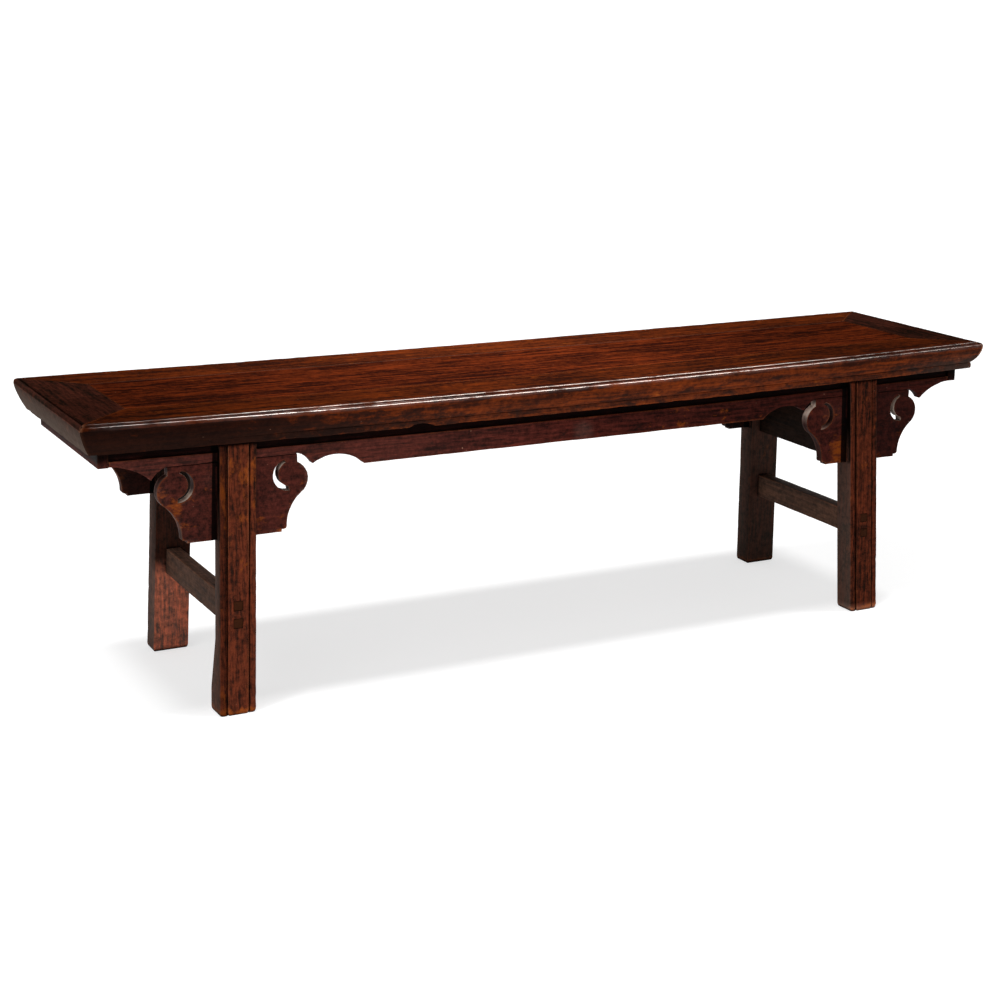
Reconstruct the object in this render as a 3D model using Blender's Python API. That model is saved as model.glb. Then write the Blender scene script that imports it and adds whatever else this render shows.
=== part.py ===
"""Elm bench: a mitred frame top with a floating panel, on four splayed legs that clasp aprons and spandrels."""

import math

import bmesh
import bpy
from mathutils import Matrix

# Overall size, in metres
SEAT_LENGTH = 1.762
SEAT_WIDTH = 0.412
SEAT_HEIGHT = 0.505

# Clearance between pieces that fit together
JOINT_GAP = 0.0003

# Frame rails: section and moulded edge, measured in from the nose and down from the top
RAIL_WIDTH = 0.100
RAIL_THICKNESS = 0.0525
TOP_ROUND = 0.007
NOSE_DROP = 0.009
THUMB_HEIGHT = 0.030
THUMB_INSET = 0.0165
LIP_BULGE = 0.003

# Tenon at each mitred corner
CORNER_TENON_WIDTH = 0.034
CORNER_TENON_THICKNESS = 0.014
CORNER_TENON_SHOULDER = 0.045
CORNER_TENON_COVER = 0.032
CORNER_TENON_DROP = 0.022
CORNER_TENON_ROOT = 0.012

# Floating panel
PANEL_THICKNESS = 0.018
PANEL_JOINT = 0.0006
PANEL_TONGUE = 0.011
PANEL_TONGUE_THICKNESS = 0.008

# Battens dovetailed across the panel
BATTEN_COUNT = 4
BATTEN_WIDTH = 0.040
BATTEN_DEPTH = 0.030
BATTEN_TENON = 0.012
BATTEN_TENON_WIDTH = 0.022
BATTEN_TENON_HEIGHT = 0.014
DOVETAIL_DEPTH = 0.005
DOVETAIL_NECK = 0.030
DOVETAIL_FLARE = 0.002

# Legs: the head stands under the long rail, the foot stands out by the splay
LEG_WIDTH = 0.0635
LEG_DEPTH = 0.042
LEG_OVERHANG = 0.2295
LEG_INSET = 0.027
LEG_SPLAY_LENGTHWAYS = 0.0175
LEG_SPLAY_CROSSWAYS = 0.0185
LEG_BEAD_WIDTH = 0.012
LEG_BEAD_RISE = 0.003
LEG_QUIRK_WIDTH = 0.0025
HEAD_TENON_WIDTH = 0.034
HEAD_TENON_THICKNESS = 0.010
HEAD_TENON_HEIGHT = 0.022

# Aprons: depths are below the underside of the frame
APRON_THICKNESS = 0.017
APRON_INSET = 0.035
APRON_REVEAL = 0.0155
APRON_END_DEPTH = 0.023
APRON_SEAT_DEPTH = 0.030
APRON_MID_DEPTH = 0.0585
APRON_TONGUE_THICKNESS = 0.008
APRON_TONGUE_SETBACK = 0.006
APRON_TONGUE_RISE = 0.006
ARCH_LENGTH = 0.0915
ARCH_DEPTH = 0.038
CUSP_ANGLE = 30.0
END_TENON = 0.008
END_TENON_MARGIN = 0.0015

# Spandrels: one board through each leg, measured from the leg's centre and from the apron above
SPANDREL_HEIGHT = 0.129
SPANDREL_FOOT_WIDTH = 0.179
SPANDREL_STEP_IN = 0.009
SPANDREL_STEP_HEIGHT = 0.0045
SPANDREL_STEP_ROUND = 0.005
DISC_RADIUS = 0.0295
DISC_OFFSET = 0.0985
DISC_DROP = 0.0415
DISC_NECK = 0.0115

# Crescent pierced beside each disc, between an outer and an inner circle set off from the disc's centre
CRESCENT_RADIUS = 0.026
CRESCENT_OFFSET = 0.0055
CRESCENT_LIFT = 0.0075
CRESCENT_EYE_RADIUS = 0.0215
CRESCENT_EYE_OFFSET = 0.0015
CRESCENT_EYE_LIFT = 0.0095
CRESCENT_OUTER_ANGLES = (105.0, 272.0)
CRESCENT_EYE_ANGLES = (258.0, 112.0)

# Cross rails between the legs at each end
CROSS_RAIL_THICKNESS = 0.0255
LOWER_RAIL_BOTTOM = 0.1465
LOWER_RAIL_HEIGHT = 0.0455
UPPER_RAIL_BOTTOM = 0.285
UPPER_RAIL_HEIGHT = 0.094
CROSS_TENON_THICKNESS = 0.016
TWIN_TENON_HEIGHT = 0.016
STUB_TENON = 0.009
STUB_TENON_SHOULDER = 0.008

# Facets of the curves
ARC_STEPS = 12
BEAD_STEPS = 8

# How far a cutter runs past the face it opens, and a tenon into the piece it grows from
CUT_PAST = 0.004
TENON_ROOT = 0.004

# Finish of each kind of piece: linear colour and roughness
FINISHES = {
    "rail": ((0.105, 0.036, 0.018), 0.34),
    "panel": ((0.140, 0.048, 0.023), 0.36),
    "batten": ((0.170, 0.085, 0.042), 0.70),
    "apron": ((0.021, 0.0068, 0.0045), 0.42),
    "spandrel": ((0.025, 0.0080, 0.0050), 0.42),
    "leg": ((0.030, 0.0100, 0.0060), 0.40),
    "cross_rail": ((0.022, 0.0080, 0.0055), 0.45),
}

UNDERSIDE = SEAT_HEIGHT - RAIL_THICKNESS
LEG_HEIGHT = UNDERSIDE - JOINT_GAP
HEAD_X = SEAT_LENGTH / 2 - LEG_OVERHANG - LEG_WIDTH / 2
HEAD_Y = SEAT_WIDTH / 2 - LEG_INSET - LEG_DEPTH / 2
FOOT_X = HEAD_X + LEG_SPLAY_LENGTHWAYS
FOOT_Y = HEAD_Y + LEG_SPLAY_CROSSWAYS
APRON_FACE = SEAT_WIDTH / 2 - APRON_INSET
APRON_HALF = SEAT_LENGTH / 2 - APRON_INSET
APRON_REACH = APRON_HALF - APRON_THICKNESS - JOINT_GAP
SEAT_LINE = UNDERSIDE - APRON_SEAT_DEPTH
SPANDREL_BOTTOM = SEAT_LINE - SPANDREL_HEIGHT


def arc(centre, radius, start, end, steps=ARC_STEPS):
    """Points on a circle from one angle to another, in degrees."""
    angles = [math.radians(start + (end - start) * i / steps) for i in range(steps + 1)]
    return [(centre[0] + radius * math.cos(a), centre[1] + radius * math.sin(a)) for a in angles]


def ellipse_arc(centre, semi_u, semi_v, start, end, steps):
    """Points on an ellipse from one angle to another, in degrees."""
    return [
        (centre[0] + semi_u * u, centre[1] + semi_v * v) for u, v in arc((0.0, 0.0), 1.0, start, end, steps)
    ]


def arc_through(first, middle, last):
    """Points on the circle through three points, from the first to the last."""
    (ax, ay), (bx, by), (cx, cy) = first, middle, last
    twice_area = 2 * (ax * (by - cy) + bx * (cy - ay) + cx * (ay - by))
    a2, b2, c2 = ax * ax + ay * ay, bx * bx + by * by, cx * cx + cy * cy
    ux = (a2 * (by - cy) + b2 * (cy - ay) + c2 * (ay - by)) / twice_area
    uy = (a2 * (cx - bx) + b2 * (ax - cx) + c2 * (bx - ax)) / twice_area
    start = math.degrees(math.atan2(ay - uy, ax - ux))
    end = math.degrees(math.atan2(cy - uy, cx - ux))
    return arc((ux, uy), math.hypot(ax - ux, ay - uy), start, end)


def prism(outline, place):
    """A solid between two copies of an outline. place(u, v, end) gives the point at end 0 or 1."""
    bm = bmesh.new()
    near = [bm.verts.new(place(u, v, 0)) for u, v in outline]
    far = [bm.verts.new(place(u, v, 1)) for u, v in outline]
    bm.faces.new(near)
    bm.faces.new(far)
    for i in range(len(outline)):
        j = (i + 1) % len(outline)
        bm.faces.new((near[i], near[j], far[j], far[i]))
    bmesh.ops.recalc_face_normals(bm, faces=bm.faces)
    return bm


def box(x, y, z):
    """A block between the (low, high) limits on each axis."""
    bm = bmesh.new()
    sizes = [high - low for low, high in (x, y, z)]
    middle = [(low + high) / 2 for low, high in (x, y, z)]
    bmesh.ops.create_cube(bm, size=1.0, matrix=Matrix.LocRotScale(middle, None, sizes))
    return bm


def mesh_of(bm):
    mesh = bpy.data.meshes.new("solid")
    bm.to_mesh(mesh)
    bm.free()
    return mesh


def carved(body, add=(), cut=()):
    """The body with some solids joined to it and others cut from it."""
    target = bpy.data.objects.new("body", mesh_of(body))
    bpy.context.scene.collection.objects.link(target)
    helpers = []
    steps = [(bm, "UNION") for bm in add] + [(bm, "DIFFERENCE") for bm in cut]
    for bm, operation in steps:
        helper = bpy.data.objects.new("helper", mesh_of(bm))
        helper.hide_render = True
        helper.display_type = "WIRE"
        bpy.context.scene.collection.objects.link(helper)
        helpers.append(helper)
        modifier = target.modifiers.new(operation.lower(), "BOOLEAN")
        modifier.object = helper
        modifier.operation = operation
        modifier.solver = "EXACT"
    graph = bpy.context.evaluated_depsgraph_get()
    result = bmesh.new()
    result.from_mesh(bpy.data.meshes.new_from_object(target.evaluated_get(graph)))
    for helper in [target] + helpers:
        bpy.data.objects.remove(helper, do_unlink=True)
    return result


def mirrored(bm):
    """The same solid with left and right exchanged."""
    twin = bm.copy()
    bmesh.ops.scale(twin, vec=(-1.0, 1.0, 1.0), verts=twin.verts)
    bmesh.ops.reverse_faces(twin, faces=twin.faces)
    return twin


def material(kind):
    """A wood finish, made once for each kind of piece."""
    name = "elm_" + kind
    if name not in bpy.data.materials:
        colour, roughness = FINISHES[kind]
        made = bpy.data.materials.new(name)
        made.use_nodes = True
        shader = made.node_tree.nodes["Principled BSDF"]
        shader.inputs["Base Color"].default_value = (*colour, 1.0)
        shader.inputs["Roughness"].default_value = roughness
        shader.inputs["Metallic"].default_value = 0.0
    return bpy.data.materials[name]


def empty(name, parent=None, turn=0.0):
    made = bpy.data.objects.new(name, None)
    made.rotation_euler = (0.0, 0.0, turn)
    made.parent = parent
    bpy.context.scene.collection.objects.link(made)
    return made


def piece(name, bm, kind, parent, origin):
    """One named sub-part. The solid is given in its parent's frame and its origin is put at the given point."""
    solid = bm.copy()
    bmesh.ops.translate(solid, vec=[-value for value in origin], verts=solid.verts)
    mesh = mesh_of(solid)
    mesh.name = name
    mesh.materials.append(material(kind))
    mesh.set_sharp_from_angle(angle=math.radians(30))
    made = bpy.data.objects.new(name, mesh)
    made.location = origin
    made.parent = parent
    bpy.context.scene.collection.objects.link(made)
    return made


def rail_section():
    """Section of a frame rail as (distance in from the nose, height from the seat's top)."""
    bottom = -RAIL_THICKNESS
    thumb_end = -NOSE_DROP - THUMB_HEIGHT
    lip = (thumb_end - bottom) / 2
    edge = ellipse_arc((TOP_ROUND, -NOSE_DROP), TOP_ROUND, NOSE_DROP, 90, 180, BEAD_STEPS)
    thumb = ellipse_arc((THUMB_INSET, -NOSE_DROP), THUMB_INSET, THUMB_HEIGHT, 180, 270, ARC_STEPS)
    bead = ellipse_arc((THUMB_INSET, bottom + lip), LIP_BULGE, lip, 90, 270, BEAD_STEPS)
    apron_near = APRON_INSET + APRON_TONGUE_SETBACK - JOINT_GAP
    apron_far = APRON_INSET + APRON_TONGUE_SETBACK + APRON_TONGUE_THICKNESS + JOINT_GAP
    apron_roof = bottom + APRON_TONGUE_RISE + JOINT_GAP
    panel_floor = -PANEL_THICKNESS - JOINT_GAP
    panel_roof = -PANEL_THICKNESS + PANEL_TONGUE_THICKNESS + JOINT_GAP
    panel_back = RAIL_WIDTH - PANEL_TONGUE - JOINT_GAP
    return [
        *edge,
        *thumb[1:],
        *bead[1:],
        (apron_near, bottom),
        (apron_near, apron_roof),
        (apron_far, apron_roof),
        (apron_far, bottom),
        (RAIL_WIDTH, bottom),
        (RAIL_WIDTH, panel_floor),
        (panel_back, panel_floor),
        (panel_back, panel_roof),
        (RAIL_WIDTH, panel_roof),
        (RAIL_WIDTH, 0.0),
    ]


def grown(limits, by):
    return (limits[0] - by, limits[1] + by)


def corner_tenon_limits():
    """The tenon at the left end of the front rail: limits on x, y and z."""
    inner = CORNER_TENON_SHOULDER + CORNER_TENON_WIDTH
    top = SEAT_HEIGHT - CORNER_TENON_DROP
    return (
        (-SEAT_LENGTH / 2 + CORNER_TENON_COVER, -SEAT_LENGTH / 2 + inner + CORNER_TENON_ROOT),
        (-SEAT_WIDTH / 2 + CORNER_TENON_SHOULDER, -SEAT_WIDTH / 2 + inner),
        (top - CORNER_TENON_THICKNESS, top),
    )


def head_tenon_limits():
    """The tenon on the head of the front left leg, on the cheek behind its slot: limits on x, y and z."""
    cheek_front = -APRON_FACE + APRON_THICKNESS + JOINT_GAP
    cheek_back = -HEAD_Y + LEG_DEPTH / 2
    middle = (cheek_front + cheek_back) / 2
    return (
        (-HEAD_X - HEAD_TENON_WIDTH / 2, -HEAD_X + HEAD_TENON_WIDTH / 2),
        (middle - HEAD_TENON_THICKNESS / 2, middle + HEAD_TENON_THICKNESS / 2),
        (LEG_HEIGHT - TENON_ROOT, LEG_HEIGHT + HEAD_TENON_HEIGHT),
    )


def batten_places():
    """Centres of the battens along the bench."""
    pitch = (SEAT_LENGTH - 2 * RAIL_WIDTH) / BATTEN_COUNT
    return [(i - (BATTEN_COUNT - 1) / 2) * pitch for i in range(BATTEN_COUNT)]


def batten_top():
    return SEAT_HEIGHT - PANEL_THICKNESS - JOINT_GAP


def batten_tenon_height():
    """Limits on z of the tenon, in the middle of the batten's depth."""
    middle = batten_top() - BATTEN_DEPTH / 2
    return (middle - BATTEN_TENON_HEIGHT / 2, middle + BATTEN_TENON_HEIGHT / 2)


def long_rail():
    def place(inset, height, end):
        reach = SEAT_LENGTH / 2 - inset - JOINT_GAP
        return (reach if end else -reach, inset - SEAT_WIDTH / 2, SEAT_HEIGHT + height)

    tenon = corner_tenon_limits()
    head = head_tenon_limits()
    head_cut = (grown(head[0], JOINT_GAP), grown(head[1], JOINT_GAP), (UNDERSIDE - CUT_PAST, head[2][1] + JOINT_GAP))
    inner_face = RAIL_WIDTH - SEAT_WIDTH / 2
    cuts = [box(*head_cut), mirrored(box(*head_cut))]
    for x in batten_places():
        width = (x - BATTEN_TENON_WIDTH / 2, x + BATTEN_TENON_WIDTH / 2)
        depth = (inner_face - BATTEN_TENON - JOINT_GAP, inner_face + CUT_PAST)
        cuts.append(box(grown(width, JOINT_GAP), depth, grown(batten_tenon_height(), JOINT_GAP)))
    return carved(prism(rail_section(), place), [box(*tenon), mirrored(box(*tenon))], cuts)


def end_rail():
    def place(inset, height, end):
        reach = SEAT_WIDTH / 2 - inset - JOINT_GAP
        return (inset - SEAT_LENGTH / 2, reach if end else -reach, SEAT_HEIGHT + height)

    x, y, z = [grown(limits, JOINT_GAP) for limits in corner_tenon_limits()]
    return carved(prism(rail_section(), place), cut=[box(x, y, z), box(x, (-y[1], -y[0]), z)])


def dovetail_half(height, clearance=0.0):
    """Half the dovetail's width at a height above the panel's underside."""
    return DOVETAIL_NECK / 2 + DOVETAIL_FLARE * height / DOVETAIL_DEPTH + clearance


def panel():
    half_x = SEAT_LENGTH / 2 - RAIL_WIDTH
    half_y = SEAT_WIDTH / 2 - RAIL_WIDTH
    underside = SEAT_HEIGHT - PANEL_THICKNESS
    field_x, field_y = half_x - PANEL_JOINT, half_y - PANEL_JOINT
    tongue_x, tongue_y = half_x + PANEL_TONGUE, half_y + PANEL_TONGUE
    field = box((-field_x, field_x), (-field_y, field_y), (underside + PANEL_TONGUE_THICKNESS / 2, SEAT_HEIGHT))
    tongue = box((-tongue_x, tongue_x), (-tongue_y, tongue_y), (underside, underside + PANEL_TONGUE_THICKNESS))
    low, high = -CUT_PAST, DOVETAIL_DEPTH + JOINT_GAP
    outline = [
        (-dovetail_half(low, JOINT_GAP), low),
        (dovetail_half(low, JOINT_GAP), low),
        (dovetail_half(high, JOINT_GAP), high),
        (-dovetail_half(high, JOINT_GAP), high),
    ]
    cuts = []
    for x in batten_places():
        def place(u, v, end, x=x):
            reach = tongue_y + CUT_PAST
            return (x + u, reach if end else -reach, underside + v)

        cuts.append(prism(outline, place))
    return carved(tongue, [field], cuts)


def batten(x):
    half_y = SEAT_WIDTH / 2 - RAIL_WIDTH - JOINT_GAP
    top = batten_top()
    outline = [
        (-BATTEN_WIDTH / 2, -BATTEN_DEPTH),
        (BATTEN_WIDTH / 2, -BATTEN_DEPTH),
        (BATTEN_WIDTH / 2, 0.0),
        (dovetail_half(-JOINT_GAP), 0.0),
        (dovetail_half(DOVETAIL_DEPTH), DOVETAIL_DEPTH + JOINT_GAP),
        (-dovetail_half(DOVETAIL_DEPTH), DOVETAIL_DEPTH + JOINT_GAP),
        (-dovetail_half(-JOINT_GAP), 0.0),
        (-BATTEN_WIDTH / 2, 0.0),
    ]

    def place(u, v, end):
        return (x + u, half_y if end else -half_y, top + v)

    reach = SEAT_WIDTH / 2 - RAIL_WIDTH + BATTEN_TENON
    width = (x - BATTEN_TENON_WIDTH / 2, x + BATTEN_TENON_WIDTH / 2)
    return carved(prism(outline, place), [box(width, (-reach, reach), batten_tenon_height())])


def lean(z):
    """How far the leg's centre has come in towards the bench's middle at a height: (x, y)."""
    return (LEG_SPLAY_LENGTHWAYS * z / LEG_HEIGHT, LEG_SPLAY_CROSSWAYS * z / LEG_HEIGHT)


def leg_centre_x(z):
    return -FOOT_X + lean(z)[0]


def leg_front_y(z):
    return -FOOT_Y - LEG_DEPTH / 2 + lean(z)[1]


def leg_back_y(z):
    return -FOOT_Y + LEG_DEPTH / 2 + lean(z)[1]


def leaning_block(half_width, front, back, low, high):
    """A block that leans with the left legs. front(z) and back(z) give its limits on y."""
    corners = [(-half_width, 0), (half_width, 0), (half_width, 1), (-half_width, 1)]

    def place(u, side, end):
        z = high if end else low
        return (leg_centre_x(z) + u, back(z) if side else front(z), z)

    return prism(corners, place)


def twin_tenon_heights():
    """Limits on z of the two tenons at each end of a lower rail."""
    top = LOWER_RAIL_BOTTOM + LOWER_RAIL_HEIGHT
    return [(LOWER_RAIL_BOTTOM, LOWER_RAIL_BOTTOM + TWIN_TENON_HEIGHT), (top - TWIN_TENON_HEIGHT, top)]


def stub_tenon_heights():
    """Limits on z of the one tenon at each end of an upper rail."""
    low = UPPER_RAIL_BOTTOM + STUB_TENON_SHOULDER
    return [(low, UPPER_RAIL_BOTTOM + UPPER_RAIL_HEIGHT - STUB_TENON_SHOULDER)]


def leg_section():
    """Section of a leg about its centre: a bead along each front arris, a quirk beside it, a flat field between."""
    front, back = -LEG_DEPTH / 2, LEG_DEPTH / 2
    half = LEG_WIDTH / 2
    sunk = front + LEG_BEAD_RISE
    bead = ellipse_arc((LEG_BEAD_WIDTH / 2 - half, sunk), LEG_BEAD_WIDTH / 2, LEG_BEAD_RISE, 180, 360, BEAD_STEPS)
    quirk = LEG_BEAD_WIDTH + LEG_QUIRK_WIDTH - half
    left = [(-half, back), *bead, (quirk, sunk), (quirk, front)]
    return left + [(-x, y) for x, y in reversed(left)]


def leg():
    """The front left leg."""

    def place(u, v, end):
        z = LEG_HEIGHT if end else 0.0
        dx, dy = lean(z)
        return (-FOOT_X + dx + u, -FOOT_Y + dy + v, z)

    slot_y = grown((-APRON_FACE, -APRON_FACE + APRON_THICKNESS), JOINT_GAP)
    slot_x = grown((-FOOT_X, -HEAD_X), LEG_WIDTH)
    slotted = carved(
        prism(leg_section(), place),
        cut=[box(slot_x, slot_y, (SPANDREL_BOTTOM - JOINT_GAP, LEG_HEIGHT + CUT_PAST))],
    )
    half = CROSS_TENON_THICKNESS / 2 + JOINT_GAP
    cuts = []
    for low, high in twin_tenon_heights():
        cuts.append(
            leaning_block(
                half,
                lambda z: leg_front_y(z) - CUT_PAST,
                lambda z: leg_back_y(z) + CUT_PAST,
                low - JOINT_GAP,
                high + JOINT_GAP,
            )
        )
    for low, high in stub_tenon_heights():
        cuts.append(
            leaning_block(
                half,
                lambda z: leg_back_y(z) - STUB_TENON - JOINT_GAP,
                lambda z: leg_back_y(z) + CUT_PAST,
                low - JOINT_GAP,
                high + JOINT_GAP,
            )
        )
    return carved(slotted, [box(*head_tenon_limits())], cuts)


def cross_rail(low, high, tenon_heights, tenon_end):
    """A rail between the left legs. tenon_end(z) is the y of its tenons' front ends."""
    body = leaning_block(
        CROSS_RAIL_THICKNESS / 2,
        lambda z: leg_back_y(z) + JOINT_GAP,
        lambda z: -leg_back_y(z) - JOINT_GAP,
        low,
        high,
    )
    tenons = [
        leaning_block(CROSS_TENON_THICKNESS / 2, tenon_end, lambda z: -tenon_end(z), *heights)
        for heights in tenon_heights
    ]
    return carved(body, tenons)


def lower_rail():
    """Its twin tenons come through the legs and end level with their front faces."""
    high = LOWER_RAIL_BOTTOM + LOWER_RAIL_HEIGHT
    return cross_rail(LOWER_RAIL_BOTTOM, high, twin_tenon_heights(), leg_front_y)


def upper_rail():
    high = UPPER_RAIL_BOTTOM + UPPER_RAIL_HEIGHT
    return cross_rail(UPPER_RAIL_BOTTOM, high, stub_tenon_heights(), lambda z: leg_back_y(z) - STUB_TENON)


def spandrel_x():
    """Distance of a spandrel's middle from the bench's middle: the leg's centre at the spandrel's foot."""
    return -leg_centre_x(SPANDREL_BOTTOM)


def disc_centre():
    """Centre of the right disc, from the spandrel's middle and the apron's seat."""
    return (DISC_OFFSET, -DISC_DROP)


def both_halves(right):
    """A symmetric outline from its right half, which runs from the bottom to the top."""
    return right + [(-x, z) for x, z in reversed(right)]


def spandrel_outline():
    foot_half = SPANDREL_FOOT_WIDTH / 2
    flat_half = foot_half - SPANDREL_STEP_IN
    bottom = -SPANDREL_HEIGHT
    step = bottom + SPANDREL_STEP_HEIGHT
    flare_foot = step + SPANDREL_STEP_ROUND
    cx, cz = disc_centre()
    out, up = cx - foot_half, cz - flare_foot
    flare = (up * up + out * out - DISC_RADIUS**2) / (2 * (out + DISC_RADIUS))
    flare_centre = (foot_half + flare, flare_foot)
    meet = math.degrees(math.atan2(up, cx - flare_centre[0]))
    neck = DISC_NECK - JOINT_GAP
    neck_angle = math.degrees(math.acos(neck / DISC_RADIUS))
    return both_halves(
        [
            (flat_half, bottom),
            (flat_half, step),
            *arc((foot_half - SPANDREL_STEP_ROUND, flare_foot), SPANDREL_STEP_ROUND, -90, 0, BEAD_STEPS // 2),
            *arc(flare_centre, flare, 180, meet)[1:],
            *arc((cx, cz), DISC_RADIUS, meet - 180, neck_angle, 2 * ARC_STEPS)[1:],
            (cx + neck, -JOINT_GAP),
        ]
    )


def crescent_outline():
    """The crescent beside the right disc."""
    cx, cz = disc_centre()
    outer = (cx - CRESCENT_OFFSET, cz + CRESCENT_LIFT)
    eye = (cx - CRESCENT_EYE_OFFSET, cz + CRESCENT_EYE_LIFT)
    return arc(outer, CRESCENT_RADIUS, *CRESCENT_OUTER_ANGLES) + arc(eye, CRESCENT_EYE_RADIUS, *CRESCENT_EYE_ANGLES)


def spandrel():
    """A spandrel about the bench's middle, in the front apron's plane."""

    def board(past):
        def place(u, v, end):
            near, far = grown((-APRON_FACE, -APRON_FACE + APRON_THICKNESS), past)
            return (u, far if end else near, SEAT_LINE + v)

        return place

    crescent = prism(crescent_outline(), board(CUT_PAST))
    return carved(prism(spandrel_outline(), board(0.0)), cut=[crescent, mirrored(crescent)])


def apron_outline():
    """Outline of a long apron about the bench's middle and below the frame's underside."""
    middle = spandrel_x()
    cx, cz = disc_centre()
    disc_z = cz - APRON_SEAT_DEPTH
    notch = math.hypot(DISC_DROP, DISC_NECK)
    seat_angle = math.degrees(math.atan2(DISC_DROP, DISC_NECK))
    cusp_x = cx + notch * math.cos(math.radians(CUSP_ANGLE))
    cusp_z = disc_z + notch * math.sin(math.radians(CUSP_ANGLE))
    width, height = APRON_REACH - middle - cusp_x, -APRON_END_DEPTH - cusp_z
    sweep = (width * width + height * height) / (2 * height)
    sweep_start = 90 + math.degrees(math.atan2(width, sweep - height))
    arch_end = (middle - cusp_x - ARCH_LENGTH, -APRON_MID_DEPTH)
    arch_top = (middle - cusp_x - ARCH_LENGTH / 2, -ARCH_DEPTH)
    return both_halves(
        [
            *arc_through(arch_end, arch_top, (middle - cusp_x, cusp_z)),
            *arc((middle - cx, disc_z), notch, 180 - CUSP_ANGLE, 180 - seat_angle)[1:],
            *arc((middle + cx, disc_z), notch, seat_angle, CUSP_ANGLE),
            *arc((APRON_REACH, -APRON_END_DEPTH - sweep), sweep, sweep_start, 90)[1:],
            (APRON_REACH, -APRON_REVEAL),
        ]
    )


def tongue_limits():
    """The tongue along an apron's top: limits across its thickness and on z."""
    low = APRON_TONGUE_SETBACK
    return (low, low + APRON_TONGUE_THICKNESS), (UNDERSIDE - APRON_REVEAL - TENON_ROOT, UNDERSIDE + APRON_TONGUE_RISE)


def end_tenon_limits():
    """The tenon at the left end of the front apron: limits on x, y and z."""
    near = -APRON_FACE + APRON_TONGUE_SETBACK
    z = (UNDERSIDE - APRON_END_DEPTH + END_TENON_MARGIN, UNDERSIDE - APRON_REVEAL - END_TENON_MARGIN)
    return (-APRON_REACH - END_TENON, -APRON_REACH + TENON_ROOT), (near, near + END_TENON), z


def long_apron():
    def place(u, v, end):
        return (u, -APRON_FACE + (APRON_THICKNESS if end else 0.0), UNDERSIDE + v)

    thickness, height = tongue_limits()
    tongue = box((-APRON_REACH, APRON_REACH), [y - APRON_FACE for y in thickness], height)
    tenon = end_tenon_limits()
    return carved(prism(apron_outline(), place), [tongue, box(*tenon), mirrored(box(*tenon))])


def end_apron():
    """It runs through to both fronts and closes the reveal above the long aprons, which are tenoned into it."""
    half_y = APRON_FACE - APRON_THICKNESS
    across, height = tongue_limits()
    z = (UNDERSIDE - APRON_END_DEPTH, UNDERSIDE - JOINT_GAP)
    board = box((-APRON_HALF, -APRON_HALF + APRON_THICKNESS), (-APRON_FACE, APRON_FACE), z)
    tongue = box([x - APRON_HALF for x in across], (-half_y, half_y), height)
    x, y, tenon_z = [grown(limits, JOINT_GAP) for limits in end_tenon_limits()]
    return carved(board, [tongue], [box(x, y, tenon_z), box(x, (-y[1], -y[0]), tenon_z)])


def main():
    for obj in list(bpy.data.objects):
        bpy.data.objects.remove(obj, do_unlink=True)
    bench = empty("bench")
    sides = {"front": empty("front_side", bench), "back": empty("back_side", bench, math.pi)}
    ends = {"left": empty("left_end", bench), "right": empty("right_end", bench, math.pi)}
    hands = {"front": ("left", "right"), "back": ("right", "left")}

    rail, apron, wing, left_leg = long_rail(), long_apron(), spandrel(), leg()
    right_leg = mirrored(left_leg)
    for side, frame in sides.items():
        piece("top_rail_" + side, rail, "rail", frame, (0.0, -SEAT_WIDTH / 2, SEAT_HEIGHT))
        piece("apron_" + side, apron, "apron", frame, (0.0, -APRON_FACE, UNDERSIDE))
        for sign, hand, solid in ((-1, hands[side][0], left_leg), (1, hands[side][1], right_leg)):
            piece("leg_" + side + "_" + hand, solid, "leg", frame, (sign * FOOT_X, -FOOT_Y, 0.0))
            board = piece("spandrel_" + side + "_" + hand, wing, "spandrel", frame, (0.0, -APRON_FACE, SEAT_LINE))
            board.location.x = sign * spandrel_x()

    cross, short_apron, low_rail, high_rail = end_rail(), end_apron(), lower_rail(), upper_rail()
    for end, frame in ends.items():
        piece("top_rail_" + end, cross, "rail", frame, (-SEAT_LENGTH / 2, 0.0, SEAT_HEIGHT))
        piece("apron_" + end, short_apron, "apron", frame, (-APRON_HALF, 0.0, UNDERSIDE))
        foot = (leg_centre_x(LOWER_RAIL_BOTTOM), 0.0, LOWER_RAIL_BOTTOM)
        piece("cross_rail_lower_" + end, low_rail, "cross_rail", frame, foot)
        foot = (leg_centre_x(UPPER_RAIL_BOTTOM), 0.0, UPPER_RAIL_BOTTOM)
        piece("cross_rail_upper_" + end, high_rail, "cross_rail", frame, foot)

    piece("top_panel", panel(), "panel", bench, (0.0, 0.0, SEAT_HEIGHT))
    for number, x in enumerate(batten_places(), 1):
        piece(f"panel_batten_{number}", batten(x), "batten", bench, (x, 0.0, batten_top()))


if __name__ == "__main__":
    main()
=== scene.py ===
"""Elm bench: moulded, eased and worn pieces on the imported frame, with lacquer, a floor and light."""

import math
from functools import partial

import bmesh
import bpy
from bpy.props import FloatProperty, FloatVectorProperty, IntProperty, PointerProperty
from mathutils import Matrix, Vector, noise


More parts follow.
